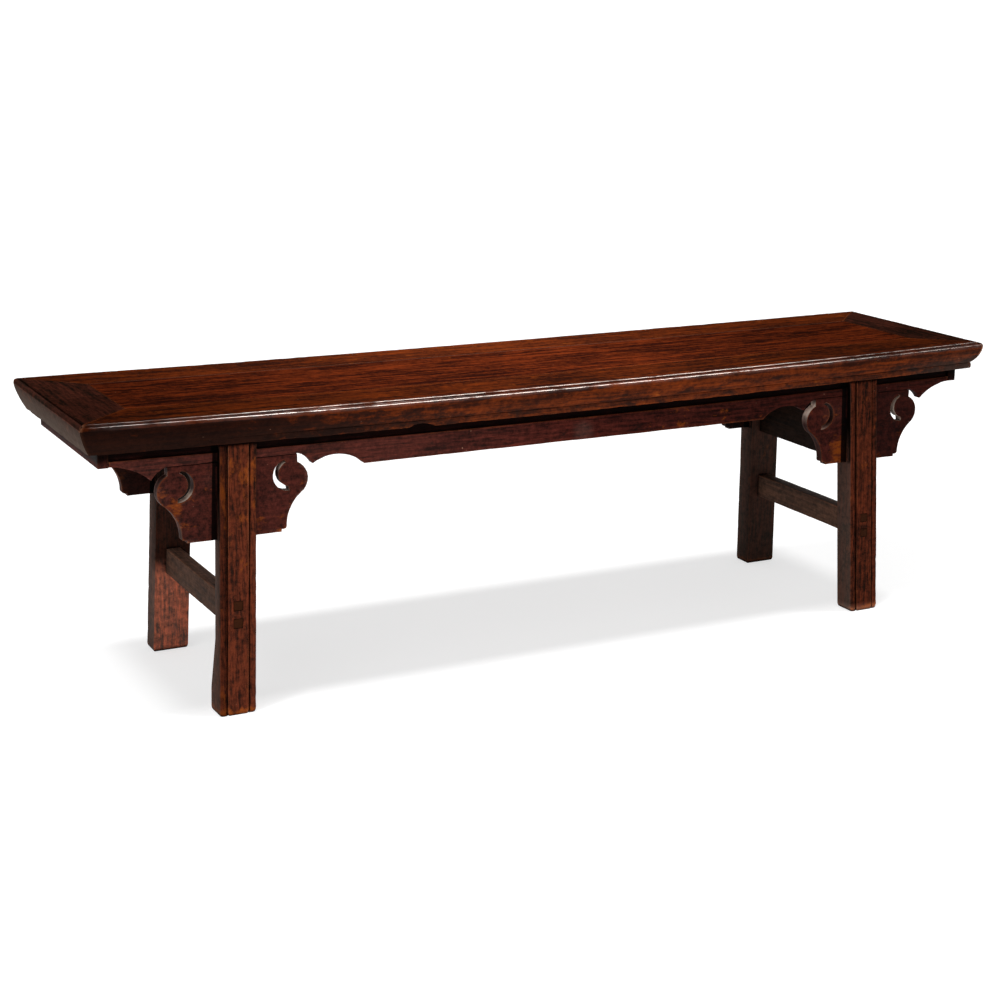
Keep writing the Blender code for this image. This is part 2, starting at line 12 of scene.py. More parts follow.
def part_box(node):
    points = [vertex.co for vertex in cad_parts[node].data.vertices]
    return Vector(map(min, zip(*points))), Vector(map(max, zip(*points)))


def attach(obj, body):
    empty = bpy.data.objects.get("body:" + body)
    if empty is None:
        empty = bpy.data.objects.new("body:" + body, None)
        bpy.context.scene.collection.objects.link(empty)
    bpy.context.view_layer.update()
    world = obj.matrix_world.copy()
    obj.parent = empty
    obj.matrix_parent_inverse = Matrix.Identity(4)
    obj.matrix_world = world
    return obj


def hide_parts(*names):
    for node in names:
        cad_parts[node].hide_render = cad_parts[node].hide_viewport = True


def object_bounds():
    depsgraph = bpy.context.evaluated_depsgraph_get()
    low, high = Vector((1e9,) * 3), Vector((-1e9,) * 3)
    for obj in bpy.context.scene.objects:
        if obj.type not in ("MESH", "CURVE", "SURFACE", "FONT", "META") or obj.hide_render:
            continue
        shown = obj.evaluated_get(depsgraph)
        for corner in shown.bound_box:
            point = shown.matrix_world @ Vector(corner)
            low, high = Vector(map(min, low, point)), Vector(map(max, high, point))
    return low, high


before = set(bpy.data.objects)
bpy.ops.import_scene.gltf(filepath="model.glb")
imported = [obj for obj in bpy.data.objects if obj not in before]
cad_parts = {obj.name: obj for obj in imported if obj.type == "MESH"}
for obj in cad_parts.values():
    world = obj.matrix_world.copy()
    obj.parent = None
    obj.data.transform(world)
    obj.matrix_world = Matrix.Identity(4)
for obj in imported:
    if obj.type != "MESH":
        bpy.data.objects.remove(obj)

bl_info = {
    "name": "Elm bench",
    "version": (1, 0, 0),
    "blender": (4, 5, 0),
    "location": "3D View > Sidebar > Bench",
    "description": "Dresses the bench's frame with moulded, worn and lacquered pieces and sets the studio",
    "category": "Object",
}

CAD_BOX = [list(corner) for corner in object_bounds()]
HALF_LENGTH, HALF_WIDTH, SEAT_TOP = CAD_BOX[1]
RAIL_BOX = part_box("top_rail_front")
APRON_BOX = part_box("apron_front")
SPANDREL_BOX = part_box("spandrel_front_left")
RAIL_WIDTH = RAIL_BOX[1].y - RAIL_BOX[0].y
RAIL_HEIGHT = RAIL_BOX[1].z - RAIL_BOX[0].z
RAIL_FOOT = RAIL_BOX[0].z
SPANDREL_FOOT = SPANDREL_BOX[0].z
SPANDREL_TOP = SPANDREL_BOX[1].z

# Angles past which an arris is eased, and past which shading breaks at it, and the reach of a cut
ARRIS_ANGLE, SHARP_ANGLE = math.radians(40.0), math.radians(38.0)
CUT_REACH = 1e-6


def linear(code):
    """An sRGB hex colour as linear red, green and blue."""
    channels = [int(code[i : i + 2], 16) / 255 for i in (1, 3, 5)]
    return tuple(c / 12.92 if c <= 0.04045 else ((c + 0.055) / 1.055) ** 2.4 for c in channels)


def tone(name, description, code):
    """A colour that a user may change, given as a hex value."""
    return FloatVectorProperty(
        name=name, description=description, subtype="COLOR", size=3, min=0.0, max=1.0, default=linear(code)
    )


def length(name, description, metres):
    """A length that a user may change."""
    return FloatProperty(
        name=name, description=description, unit="LENGTH", precision=5, min=0.0, default=metres
    )


def angle(name, description, degrees):
    """An angle that a user may change, given in degrees."""
    return FloatProperty(name=name, description=description, subtype="ANGLE", default=math.radians(degrees))


def strength(name, description, amount):
    """A lamp's strength that a user may change."""
    return FloatProperty(name=name, description=description, min=0.0, default=amount)


def part_of_one(name, description, amount):
    """A share, from none to all, that a user may change."""
    return FloatProperty(
        name=name, description=description, subtype="FACTOR", min=0.0, max=1.0, default=amount
    )


def direction(name, description, way):
    """A direction that a user may change."""
    return FloatVectorProperty(name=name, description=description, subtype="DIRECTION", default=way)


class BenchSizes(bpy.types.PropertyGroup):
    """Sizes of the finer shapes, beyond those of the frame"""

    mitre_gap: length("Mitre gap", "Gap that each rail leaves at a mitre", 0.0003)
    worn_reach: length("Worn reach", "How far from the nose long use has rounded the top", 0.0220)
    worn_drop: length("Worn drop", "How far long use has lowered the front arris", 0.0004)
    front_hang: length("Front hang", "How far the middle of the top's front hangs", 0.0030)
    front_lift: length("Front lift", "How far the ends of the top stand up at the front", 0.0050)
    back_lift: length("Back lift", "How far the ends of the top stand up at the back", 0.0032)
    leg_hollow: length("Leg hollow", "How far the inner arris of a front leg is worn hollow", 0.0070)
    foot_round: length("Foot round", "Height to which the feet are worn round", 0.008)
    rail_wear: length("Cross rail wear", "Radius that feet have worn on the lower cross rails", 0.0150)
    step_inset: length("Step inset", "Distance from the nose to the small step", 0.0078)
    step_round: length("Step round", "How far the top rounds over into the step", 0.0036)
    step_depth: length("Step depth", "Depth of the small step along the top's arris", 0.0040)
    quirk: length("Quirk", "Width and depth of the fine groove at the foot of the step", 0.0007)
    nose_drop: length("Nose drop", "Height of the top above the nose of the rail", 0.009)
    thumb_height: length("Thumb height", "Height of the curve that runs in under the nose", 0.032)
    thumb_inset: length("Thumb inset", "How far the curve under the nose runs in", 0.0160)
    thumb_lean: length("Thumb lean", "How far in the curve under the nose turns", 0.0010)
    thumb_turn: length("Thumb turn", "Height at which the curve under the nose turns", 0.0105)
    lip_bulge: length("Lip bulge", "How far the lip under the rail swells out", 0.0015)
    tongue_inset: length("Apron tongue inset", "Distance from the nose to that groove", 0.0407)
    tongue_width: length("Apron tongue groove", "Width of the groove for the apron's tongue", 0.0086)
    tongue_rise: length("Apron tongue rise", "Depth of the groove for the apron's tongue", 0.0063)
    panel_groove_low: length("Panel groove floor", "Depth below the top of the panel groove's floor", 0.0183)
    panel_groove_high: length("Panel groove roof", "Depth below the top of the panel groove's roof", 0.0097)
    panel_groove_depth: length("Panel groove depth", "How far the panel's groove runs into the rail", 0.0113)
    chip_place: FloatProperty(
        name="Chip place", description="Where the chip in the front lip is, from the bench's middle",
        unit="LENGTH", default=-0.3030,
    )
    chip_width: length("Chip width", "Half the width of the chip in the front lip", 0.021)
    chip_depth: length("Chip depth", "How far the chip cuts up into the front lip", 0.0060)
    reveal: length("Reveal", "Height of the dark recess between the frame and the aprons", 0.0155)
    arris_round: length("Arris round", "Radius that planing and handling leave on an arris", 0.0011)
    board_dip: length("Surface dip", "Depth of the shallow hollows that hand planing leaves", 0.0005)
    nick_depth: length("Nick depth", "Depth of the nicks along an arris", 0.0012)
    slice_step: length("Slice", "Spacing of the cuts that let wear shape a board", 0.008)
    curve_steps: IntProperty(
        name="Curve steps", description="Faces round each moulded curve", min=4, default=14
    )


class BenchColours(bpy.types.PropertyGroup):
    """Tones of the finishes"""

    top_deep: tone("Top, deep", "Dark streaks of the rubbed top", "#2c0f08")
    top_warm: tone("Top, warm", "Light streaks of the rubbed top", "#7c3112")
    edge_deep: tone("Moulded edge, deep", "Dark streaks of the long rails", "#32140b")
    edge_warm: tone("Moulded edge, warm", "Light streaks of the long rails", "#823610")
    end_deep: tone("End rail, deep", "Dark streaks of the end rails", "#1c120c")
    end_warm: tone("End rail, warm", "Light streaks of the end rails", "#51271c")
    worn: tone("Worn lacquer", "Lacquer rubbed through to orange-brown", "#9a4a16")
    bare: tone("Bare edge", "Bare wood on the sharpest edges", "#b0846c")
    apron_deep: tone("Apron, deep", "Dark tone of the lacquered aprons", "#220c0a")
    apron_warm: tone("Apron, warm", "Light tone of the lacquered aprons", "#5a261e")
    leg_deep: tone("Leg, deep", "Dark streaks of the legs", "#220d07")
    leg_warm: tone("Leg, warm", "Light streaks of the legs", "#70301a")
    cross_deep: tone("Cross rail, deep", "Dark tone of the cross rails", "#1c120e")
    cross_warm: tone("Cross rail, warm", "Light tone of the cross rails", "#54382a")
    plain_deep: tone("Bare elm, deep", "Dark streaks of the unfinished battens", "#4a3020")
    plain_warm: tone("Bare elm, warm", "Light streaks of the unfinished battens", "#7d5a3c")
    # Soot colour, also used as painted shade under the rails' nose
    soot: tone("Soot", "Old blackened lacquer", "#22120f")
    # Grime colour, also laid as painted shade where neighbouring faces close in
    grime_and_shade: tone("Grime", "Old wax and dust in the corners and quirks", "#080504")
    # Grey film: dust and bare wood, and painted grey sheen on the legs' sides and the end rails
    film: tone("Grey film", "Dust and bare wood on sawn and rubbed sides", "#83766c")
    floor: tone("Floor", "Paint of the studio floor", "#f8f8f8")


class StudioSettings(bpy.types.PropertyGroup):
    """Camera, light and floor"""

    camera_place: FloatVectorProperty(
        name="Camera place", description="Where the camera stands", subtype="XYZ", unit="LENGTH",
        default=(-1.6424, -3.0626, 1.1798),
    )
    camera_azimuth: angle("Azimuth", "Turn of the view from the front to the left end", 28.266)
    camera_pitch: angle("Pitch", "How far the view looks down", 14.855)
    camera_roll: angle("Roll", "Tilt of the camera about its view", 0.895)
    camera_lens: FloatProperty(
        name="Lens", description="Focal length in millimetres", min=1.0, default=70.30
    )
    camera_shift: FloatVectorProperty(
        name="Shift", description="Shift of the frame, as a share of its width", size=2,
        default=(-0.02958, -0.00727),
    )
    key_direction: direction("Key lights", "Direction to the right of the two key lights", (0.32, -0.10, 1.0))
    key_strength: strength("Key strength", "Light of each key on a face turned to it", 1.32)
    key_angle: angle("Key size", "Width of each key light as the bench sees it", 9.0)
    side_direction: direction("Side light", "Direction to the side light", (-0.72, -0.45, 0.53))
    side_strength: strength("Side strength", "Light of the side light on a face turned to it", 0.7)
    side_angle: angle("Side size", "Width of the side light as the bench sees it", 50.0)
    glint_direction: direction("Glint light", "Direction to the lamp in the arris", (0.45, -0.12, 0.89))
    glint_strength: strength("Glint strength", "Strength of the lamp in the polished arris", 4.8)
    glint_angle: angle("Glint size", "Width of the lamp that the polished arris mirrors", 24.0)
    glint_colour: tone("Glint colour", "Colour of the lamp that the polished arris mirrors", "#fff1e6")
    fill_strength: part_of_one("Fill", "Light from all round", 0.35)
    floor_size: length("Floor size", "Side of the floor", 600.0)
    floor_glow: part_of_one("Floor glow", "White that the floor shows even in shadow", 0.637)
    floor_share: part_of_one("Floor share", "Share of the lamps' light that the floor shows", 0.53)


def add(tree, kind, inputs=(), output=None, **settings):
    """Adds a node with its settings, links or sets its inputs, and gives an output."""
    node = tree.nodes.new("ShaderNode" + kind)
    for name, value in settings.items():
        setattr(node, name, value)
    for name, value in dict(inputs).items():
        socket = next(s for s in node.inputs if name in (s.identifier, s.name))
        if isinstance(value, bpy.types.NodeSocket):
            tree.links.new(value, socket)
        else:
            socket.default_value = value
    return next((s for s in node.outputs if s.enabled and output in (None, s.name)), None)


# How far the grain wanders, over what length, and the spacing at which growth rings are drawn
WANDER_LENGTH, WANDER_WIDTH, RING_SPACING = 0.25, 0.014, 0.009
# Length along the grain and width of pores, patina, worn patches and sooty patches
PORE, PATINA, PATCH, SOOT_PATCH = (0.030, 0.002), (0.22, 0.08), (0.042, 0.024), (0.036, 0.020)
# Spacing of the lacquer's mottle and of its nicks, and how near an edge the lacquer is rubbed
MOTTLE, NICK_SPACING, RUB_REACH = 0.010, 0.007, 0.0045
# Shift that keeps the sooty patches apart from the worn ones
SOOT_SHIFT = (0.7, 0.2, 0.4)
# Grain runs along X, Y or Z: the turn that brings each to the pattern's own X
GRAIN_TURNS = {"X": (0.0, 0.0, 0.0), "Y": (0.0, 0.0, -math.pi / 2), "Z": (0.0, math.pi / 2, 0.0)}


def opaque(colour):
    """A colour with nothing seen through it."""
    return (*colour, 1.0)


def lacquered_elm(
    name, grain, heart, tones, colours, streak, streaky, patchy, rub, rough, gloss,
    balance=0.0, mottled=1.8, grime_and_shade_reach=0.014, arris=False,
):
    """Elm under old red-brown lacquer: streaks along the grain, worn patches, pale arrises, and quirks
    darkened by grime and painted shade.

    Streak gives a streak's length and width in metres. Streaky, patchy, mottled and rub say how strong each
    pattern is, rough and gloss how the surface shines, and balance leans it to the deep or the warm tone.
    Marks on each point of a piece change it: shade scales it, for its own tone and painted light and shade;
    wear and soot bring more worn or blackened patches, partly painted shade; film lays grey dust, bare wood
    and painted sheen.
    """
    deep, warm = tones
    made = bpy.data.materials.new(name)
    made.use_nodes = True
    made.node_tree.nodes.clear()
    put = partial(add, made.node_tree)
    wear, soot, film, shade = (
        put("Attribute", output="Fac", attribute_name=kind) for kind in ("wear", "soot", "film", "shade")
    )
    coords = put("TexCoord", output="Object")
    along = put("Mapping", {"Vector": coords, "Rotation": GRAIN_TURNS[grain], "Location": heart})

    def grown(field, long, wide, detail, roughness=0.5, shift=(0.0, 0.0, 0.0)):
        """Noise in marks of that length and width, in metres."""
        scale = (1 / long, 1 / wide, 1 / wide)
        place = put("Mapping", {"Vector": field, "Location": shift, "Scale": scale})
        return put("TexNoise", {"Vector": place, "Scale": 1.0, "Detail": detail, "Roughness": roughness})

    # The grain wanders by about 14 mm over 250 mm
    wander = put("TexNoise", {"Vector": along, "Scale": 1 / WANDER_LENGTH, "Detail": 2.0}, "Color")
    bent = put(
        "VectorMath",
        {"Vector": wander, "Vector_001": (0.0, WANDER_WIDTH, WANDER_WIDTH), "Vector_002": along},
        operation="MULTIPLY_ADD",
    )

    # Elm's growth rings are 2 to 3 mm apart, drawn at 9 mm so that they show from a few metres
    rings = put(
        "TexWave",
        {"Vector": bent, "Scale": 2 * math.pi / (20 * RING_SPACING), "Distortion": 2.5, "Detail": 3.0},
        "Fac",
        wave_type="RINGS",
        rings_direction="X",
        wave_profile="SAW",
    )

    # Streaks as long and wide as asked, in metres, and pores drawn 2 mm wide, where real ones are 0.3 mm
    streaks = grown(bent, *streak, 6.0, 0.68)
    pore_field = grown(bent, *PORE, 1.0)
    pores = put("MapRange", {"Value": pore_field, "From Min": 0.55, "From Max": 0.70})

    # Patina drifts over a hand's breadth, and the lacquer is mottled at 10 mm
    patina = grown(along, *PATINA, 3.0)
    mottle = put("TexNoise", {"Vector": along, "Scale": 1 / MOTTLE, "Detail": 6.0, "Roughness": 0.75})

    # All four patterns together, about a middle of one half plus the balance, choose between deep and warm
    level = balance - 0.1 - 0.5 * mottled - 1.75 * streaky
    share = level
    amounts = ((streaks, 3.2 * streaky), (rings, 0.3 * streaky), (patina, 1.2), (mottle, mottled))
    for pattern, amount in amounts:
        sum_of = {"Value": pattern, "Value_001": amount, "Value_002": share}
        share = put("Math", sum_of, operation="MULTIPLY_ADD")
    wood = {"Factor_Float": share, "A_Color": opaque(deep), "B_Color": opaque(warm)}
    body = put("Mix", wood, data_type="RGBA")
    dark_pores = put("Math", {"Value": pores, "Value_001": 0.5 * streaky}, operation="MULTIPLY")

    # Patches 20 to 40 mm across where the lacquer is worn thin
    patch_field = grown(along, *PATCH, 7.0, 0.72)
    thin = put("Math", {"Value": patch_field, "Value_001": wear}, operation="ADD")
    patches = put(
        "MapRange",
        {"Value": thin, "From Min": 0.72 - 0.26 * patchy, "From Max": 0.84 - 0.22 * patchy, "To Max": 0.85},
    )

    # Convex edges are rubbed: the share of nearby surface seen from inside the wood finds them
    inside = put("AmbientOcclusion", {"Distance": RUB_REACH}, "AO", samples=6, inside=True, only_local=True)
    edge = put("Math", {"Value": 1.0, "Value_001": inside}, operation="SUBTRACT")
    edge = put("Math", {"Value": thin, "Value_001": 0.8, "Value_002": edge}, operation="MULTIPLY_ADD")
    rubbed = put("MapRange", {"Value": edge, "From Min": 0.62, "From Max": 0.92, "To Max": rub})
    bared = put("MapRange", {"Value": edge, "From Min": 0.88, "From Max": 1.1, "To Max": rub})

    # Blackened patches of old lacquer, 15 to 40 mm long, as many as each point's soot mark brings; under the
    # rails' nose they also paint shade
    soot_field = grown(along, *SOOT_PATCH, 7.0, 0.70, SOOT_SHIFT)
    soot_field = put("Math", {"Value": soot_field, "Value_001": soot}, operation="ADD")
    blackened = put("MapRange", {"Value": soot_field, "From Min": 0.60, "From Max": 0.72, "To Max": 0.85})

    # Pale nicks, about 3 mm across and far apart
    nick_field = put("TexNoise", {"Vector": coords, "Scale": 1 / NICK_SPACING, "Detail": 2.0})
    nicks = put("MapRange", {"Value": nick_field, "From Min": 0.76, "From Max": 0.80, "To Max": 0.5})

    # Grey film, uneven: dust and bare wood on sawn and rubbed sides, and painted grey sheen on the legs'
    # sides and the end rails' moulding
    filmed = put(
        "MapRange", {"Value": mottle, "From Min": 0.2, "From Max": 0.8, "To Min": 0.6, "To Max": 1.4}
    )
    filmed = put("Math", {"Value": filmed, "Value_001": film}, operation="MULTIPLY")

    # The layers lie over the wood in this order
    layers = (
        (dark_pores, [c * 0.3 for c in deep]),
        (patches, colours.worn),
        (rubbed, colours.worn),
        (bared, colours.bare),
        (blackened, colours.soot),
        (nicks, colours.bare),
        (filmed, colours.film),
    )
    for cover, colour in layers:
        layer = {"Factor_Float": cover, "A_Color": body, "B_Color": opaque(colour)}
        body = put("Mix", layer, data_type="RGBA")
    # The shade mark scales the colour: the piece's own tone, and painted light and shade
    body = put("VectorMath", {"Vector": body, "Scale": shade}, operation="SCALE")

    # Old wax and dust settle where neighbouring faces close in, and this darkening also paints the shade that
    # falls there
    outside = put("AmbientOcclusion", {"Distance": grime_and_shade_reach}, "AO", samples=8)
    corner = put("MapRange", {"Value": outside, "From Min": 0.74, "From Max": 0.40, "To Max": 0.95})
    grime_and_shade_cover = {"Factor_Float": corner, "A_Color": body, "B_Color": opaque(colours.grime_and_shade)}
    body = put("Mix", grime_and_shade_cover, data_type="RGBA")

    # Streaks change the sheen, and open pores break it
    sheen = put(
        "MapRange",
        {"Value": streaks, "From Min": 0.3, "From Max": 0.7, "To Min": rough - 0.06, "To Max": rough + 0.06},
    )
    sheen = put("Math", {"Value": pores, "Value_001": 0.15, "Value_002": sheen}, operation="MULTIPLY_ADD")

    # Pores are 0.2 mm deep, the streaks are sunk a little and the worn patches stand lower
    height = pores
    for pattern in (streaks, patch_field):
        sum_of = {"Value": pattern, "Value_001": 0.8, "Value_002": height}
        height = put("Math", sum_of, operation="MULTIPLY_ADD")
    bump = put("Bump", {"Height": height, "Strength": 0.6, "Distance": 0.0003}, invert=True)

    surface = {
        "Base Color": body,
        "Roughness": sheen,
        "Normal": bump,
        "IOR": 1.5,
        "Specular IOR Level": gloss,
    }
    if arris:
        # Hands and clothes polish the arris, except where the lacquer has gone
        kept = put("MapRange", {"Value": patch_field, "From Min": 0.40, "From Max": 0.52, "To Min": 0.15})
        handled = {"Value": put("Attribute", output="Fac", attribute_name="polish"), "Value_001": kept}
        surface["Coat Weight"] = put("Math", handled, operation="MULTIPLY")
        surface["Coat Roughness"] = 0.14
        surface["Coat IOR"] = 1.5
    put("OutputMaterial", {"Surface": put("BsdfPrincipled", surface)})
    return made


def whole_faces(node):
    """A node's solid with its triangles merged back into whole faces."""
    bm = bmesh.new()
    bm.from_mesh(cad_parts[node].data)
    bmesh.ops.remove_doubles(bm, verts=bm.verts, dist=2e-5)
    bmesh.ops.dissolve_degenerate(bm, edges=bm.edges, dist=5e-5)
    bmesh.ops.dissolve_limit(bm, angle_limit=math.radians(0.5), verts=bm.verts, edges=bm.edges)
    return bm


def round_edges(bm, edges, radius, segments):
    """Rounds edges to a radius."""
    bmesh.ops.bevel(
        bm,
        geom=edges,
        offset=radius,
        offset_type="OFFSET",
        segments=segments,
        profile=0.5,
        affect="EDGES",
        clamp_overlap=True,
        material=-1,
    )


def cut(bm, point, facing, trim=False):
    """Cuts the mesh along a plane, and may trim off what lies beyond it and close the end."""
    made = bmesh.ops.bisect_plane(
        bm,
        geom=bm.verts[:] + bm.edges[:] + bm.faces[:],
        dist=CUT_REACH,
        plane_co=point,
        plane_no=facing,
        clear_outer=trim,
    )
    if trim:
        rim = [e for e in made["geom_cut"] if isinstance(e, bmesh.types.BMEdge)]
        bmesh.ops.edgeloop_fill(bm, edges=rim)


def ease(bm, radius, upright=False):
    """Rounds the convex arrises, or only the upright ones."""
    edges = [e for e in bm.edges if e.is_manifold and e.calc_face_angle_signed() > ARRIS_ANGLE]
    if upright:
        edges = [e for e in edges if abs(e.verts[0].co.z - e.verts[1].co.z) > 0.9 * e.calc_length()]
    round_edges(bm, edges, radius, 2)


def slices(bm, axis, step):
    """Cuts the mesh across an axis at even steps, so that wear can shape it between them."""
    places = [v.co[axis] for v in bm.verts]
    low, high = min(places), max(places)
    count = max(1, round((high - low) / step))
    across = Vector((0.0, 0.0, 0.0))
    across[axis] = 1.0
    for i in range(1, count):
        cut(bm, across * (low + (high - low) * i / count), across)


# How far apart the hollows of a face, and the nicks and dents of an arris, lie
HOLLOW_SPACING, ARRIS_NICK_SPACING, DENT_SPACING = 0.060, 0.014, 0.050


def age(bm, dip, nick):
    """Sinks the faces in shallow hollows and the arrises in nicks, as planing and long use leave them."""
    bm.normal_update()
    moves = []
    for vert in bm.verts:
        depth = dip * (0.5 + 0.5 * noise.noise(vert.co / HOLLOW_SPACING))
        if vert.calc_shell_factor() > 1.01:
            depth += nick * max(0.0, noise.noise(vert.co / ARRIS_NICK_SPACING) - 0.25) / 0.75
            depth += nick * max(0.0, noise.noise(vert.co / DENT_SPACING) - 0.10)
        # No deeper than the finest face at the point is wide, so that no arris folds over
        finest = min(edge.calc_length() for edge in vert.link_edges)
        moves.append(vert.normal * -min(depth, 0.8 * finest))
    for vert, move in zip(bm.verts, moves):
        vert.co += move


def mark(piece, name, value):
    """Notes a value on each point of a piece: a number, or a function of its place and the way it faces."""
    noted = piece.data.attributes.new(name, "FLOAT", "POINT")
    points = piece.data.vertices
    values = [value(p.co, p.normal) for p in points] if callable(value) else [value] * len(points)
    noted.data.foreach_set("value", values)


# Marks of a piece that has none of its own
PLAIN_MARKS = {"shade": 1.0, "wear": 0.0, "soot": 0.0, "film": 0.0}


def place_piece(bm, name, nodes, material, slot, **marks):
    """Makes the finished piece, which rides on the frame and stands for its nodes."""
    bmesh.ops.triangulate(bm, faces=[f for f in bm.faces if len(f.verts) > 4])
    mesh = bpy.data.meshes.new(name)
    bm.to_mesh(mesh)
    bm.free()
    mesh.shade_smooth()
    mesh.set_sharp_from_angle(angle=SHARP_ANGLE)
    mesh.materials.append(material)
    piece = bpy.data.objects.new(name, mesh)
    bpy.context.scene.collection.objects.link(piece)
    for kind, value in {**PLAIN_MARKS, **marks}.items():
        mark(piece, kind, value)
    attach(piece, "root")
    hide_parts(*nodes)


def ramp(value, low, high):
    """Rises from 0 to 1 between two values, or falls where the first is the higher."""
    return min(1.0, max(0.0, (value - low) / (high - low)))


def leftward(place, start, end):
    """Rises from 0 to 1 between two shares of the way from the bench's middle to its left end."""
    return ramp(place.x, -HALF_LENGTH * start, -HALF_LENGTH * end)


def rightward(place, start, end):
    """Rises from 0 to 1 between two shares of the way from the bench's middle to its right end."""
    return ramp(place.x, HALF_LENGTH * start, HALF_LENGTH * end)


def lift(sizes, place):
    """How far long use has bent the top: its front hangs in the middle, and its ends stand up."""
    front = 0.5 - 0.5 * place.y / HALF_WIDTH
    rise = sizes.back_lift + (sizes.front_lift + sizes.front_hang - sizes.back_lift) * front
    return rise * (place.x / HALF_LENGTH) ** 2 - sizes.front_hang * front


def bend(bm, sizes, low=0.0, high=0.1):
    """Bends a piece with the top, all of it above one height and none of it below another."""
    for vert in bm.verts:
        vert.co.z += lift(sizes, vert.co) * ramp(vert.co.z, low, high)


def rail_outline(sizes, used):
    """Section of a rail as (inset from the nose, height from the seat's top), with the corners to be rounded.

    A rail in use has a worn arris and a deeper step.
    """
    width = RAIL_WIDTH
    bottom = -RAIL_HEIGHT
    thumb_end = -sizes.nose_drop - sizes.thumb_height
    lip_middle = (thumb_end + bottom) / 2
    lip = sizes.thumb_inset - sizes.lip_bulge
    tongue_end = sizes.tongue_inset + sizes.tongue_width
    groove_end = width - sizes.panel_groove_depth
    step = sizes.step_inset
    plain, rounded = False, True
    worn = -sizes.worn_drop * used
    tread = worn - sizes.step_depth * (0.3 + 0.7 * used)
    return [
        (width, 0.0, plain),
        (width * 0.75, 0.0, plain),
        (width * 0.50, 0.0, plain),
        (sizes.worn_reach, 0.0, plain),
        ((sizes.worn_reach + step) / 2, worn * 0.3, plain),
        (step + sizes.step_round, worn, plain),
        (step, worn, rounded),
        (step, tread, plain),
        (step - sizes.quirk, tread - sizes.quirk, plain),
        (step - 2 * sizes.quirk, tread, plain),
        (0.0, tread, rounded),
        (0.0, -sizes.nose_drop, plain),
        (sizes.thumb_lean, thumb_end + sizes.thumb_turn, rounded),
        (sizes.thumb_inset, thumb_end, plain),
        (lip, thumb_end, rounded),
        (lip, lip_middle, plain),
        (lip, bottom, rounded),
        (sizes.thumb_inset, bottom, plain),
        (sizes.tongue_inset, bottom, plain),
        (sizes.tongue_inset, bottom + sizes.tongue_rise, plain),
        (tongue_end, bottom + sizes.tongue_rise, plain),
        (tongue_end, bottom, plain),
        (width, bottom, plain),
        (width, -sizes.panel_groove_low, plain),
        (groove_end, -sizes.panel_groove_low, plain),
        (groove_end, -sizes.panel_groove_high, plain),
        (width, -sizes.panel_groove_high, plain),
    ]


def moulded_rail(sizes, along, across, used):
    """A rail along X at the front of a frame of those half sizes, moulded and mitred at both ends."""
    bm = bmesh.new()
    corners = []
    for inset, height, rounded in rail_outline(sizes, used):
        vert = bm.verts.new((inset + sizes.mitre_gap - along, inset - across, SEAT_TOP + height))
        if rounded:
            corners.append(vert)
    bm.faces.new(bm.verts)
    bmesh.ops.bevel(
        bm,
        geom=corners,
        offset=99.9,
        offset_type="PERCENT",
        segments=sizes.curve_steps,
        profile=0.5,
        affect="VERTICES",
        material=-1,
    )
    bmesh.ops.remove_doubles(bm, verts=bm.verts, dist=5e-5)
    far = bmesh.ops.extrude_face_region(bm, geom=bm.faces[:])
    far_end = [v for v in far["geom"] if isinstance(v, bmesh.types.BMVert)]
    bmesh.ops.scale(bm, vec=(-1.0, 1.0, 1.0), verts=far_end)
    bmesh.ops.recalc_face_normals(bm, faces=bm.faces)
    long_edges = [e for e in bm.edges if e.verts[0].co.x * e.verts[1].co.x < 0]
    bmesh.ops.subdivide_edges(bm, edges=long_edges, cuts=round(2 * along / sizes.slice_step))
    return bm


def edge_place(point):
    """Distance of a point in from the seat's outline, and down from its top."""
    return min(HALF_LENGTH - abs(point.x), HALF_WIDTH - abs(point.y)), SEAT_TOP - point.z


def inward(place):
    """The way in from the seat's outline: across the nearer rail, or along the mitre between two."""
    end, side = HALF_LENGTH - abs(place.x), HALF_WIDTH - abs(place.y)
    slack = 0.001
    across = math.copysign(end < side + slack, -place.x)
    along = math.copysign(side < end + slack, -place.y)
    return Vector((across, along, 0.0))


def narrowed(place):
    """Share of its width that the step along the front arris keeps: it is worn narrow at the left."""
    if HALF_LENGTH - abs(place.x) < HALF_WIDTH - abs(place.y):
        return 1.0
    return 1.0 - 0.45 * leftward(place, 0.5, 0.85)


def left_wear(sizes, place):
    """How far wear moves the edge in at the left end, where the lip is worn away and the step is narrow."""
    inset, drop = edge_place(place)
    left = leftward(place, 0.55, 0.85)
    step_end = sizes.step_inset + sizes.step_round
    if drop < sizes.nose_drop:
        kept = min(inset / step_end, ramp(inset, sizes.worn_reach, step_end))
        return (narrowed(place) - 1.0) * step_end * kept
    if inset > sizes.thumb_inset + 0.0001:
        return 0.0
    down = ramp(drop, sizes.nose_drop, RAIL_HEIGHT)
    return left * (sizes.thumb_inset * down ** 1.45 - inset)


def sunk(sizes, place):
    """The way wear sinks the outer part of a rail: down on its top, in on its nose, and up under its lip."""
    drop = edge_place(place)[1]
    nose = ramp(drop, 0.0, sizes.nose_drop)
    under = ramp(drop, sizes.nose_drop + sizes.thumb_height, RAIL_HEIGHT)
    return inward(place) * (nose * (1.0 - 0.5 * under)) + Vector((0.0, 0.0, under + nose - 1.0))


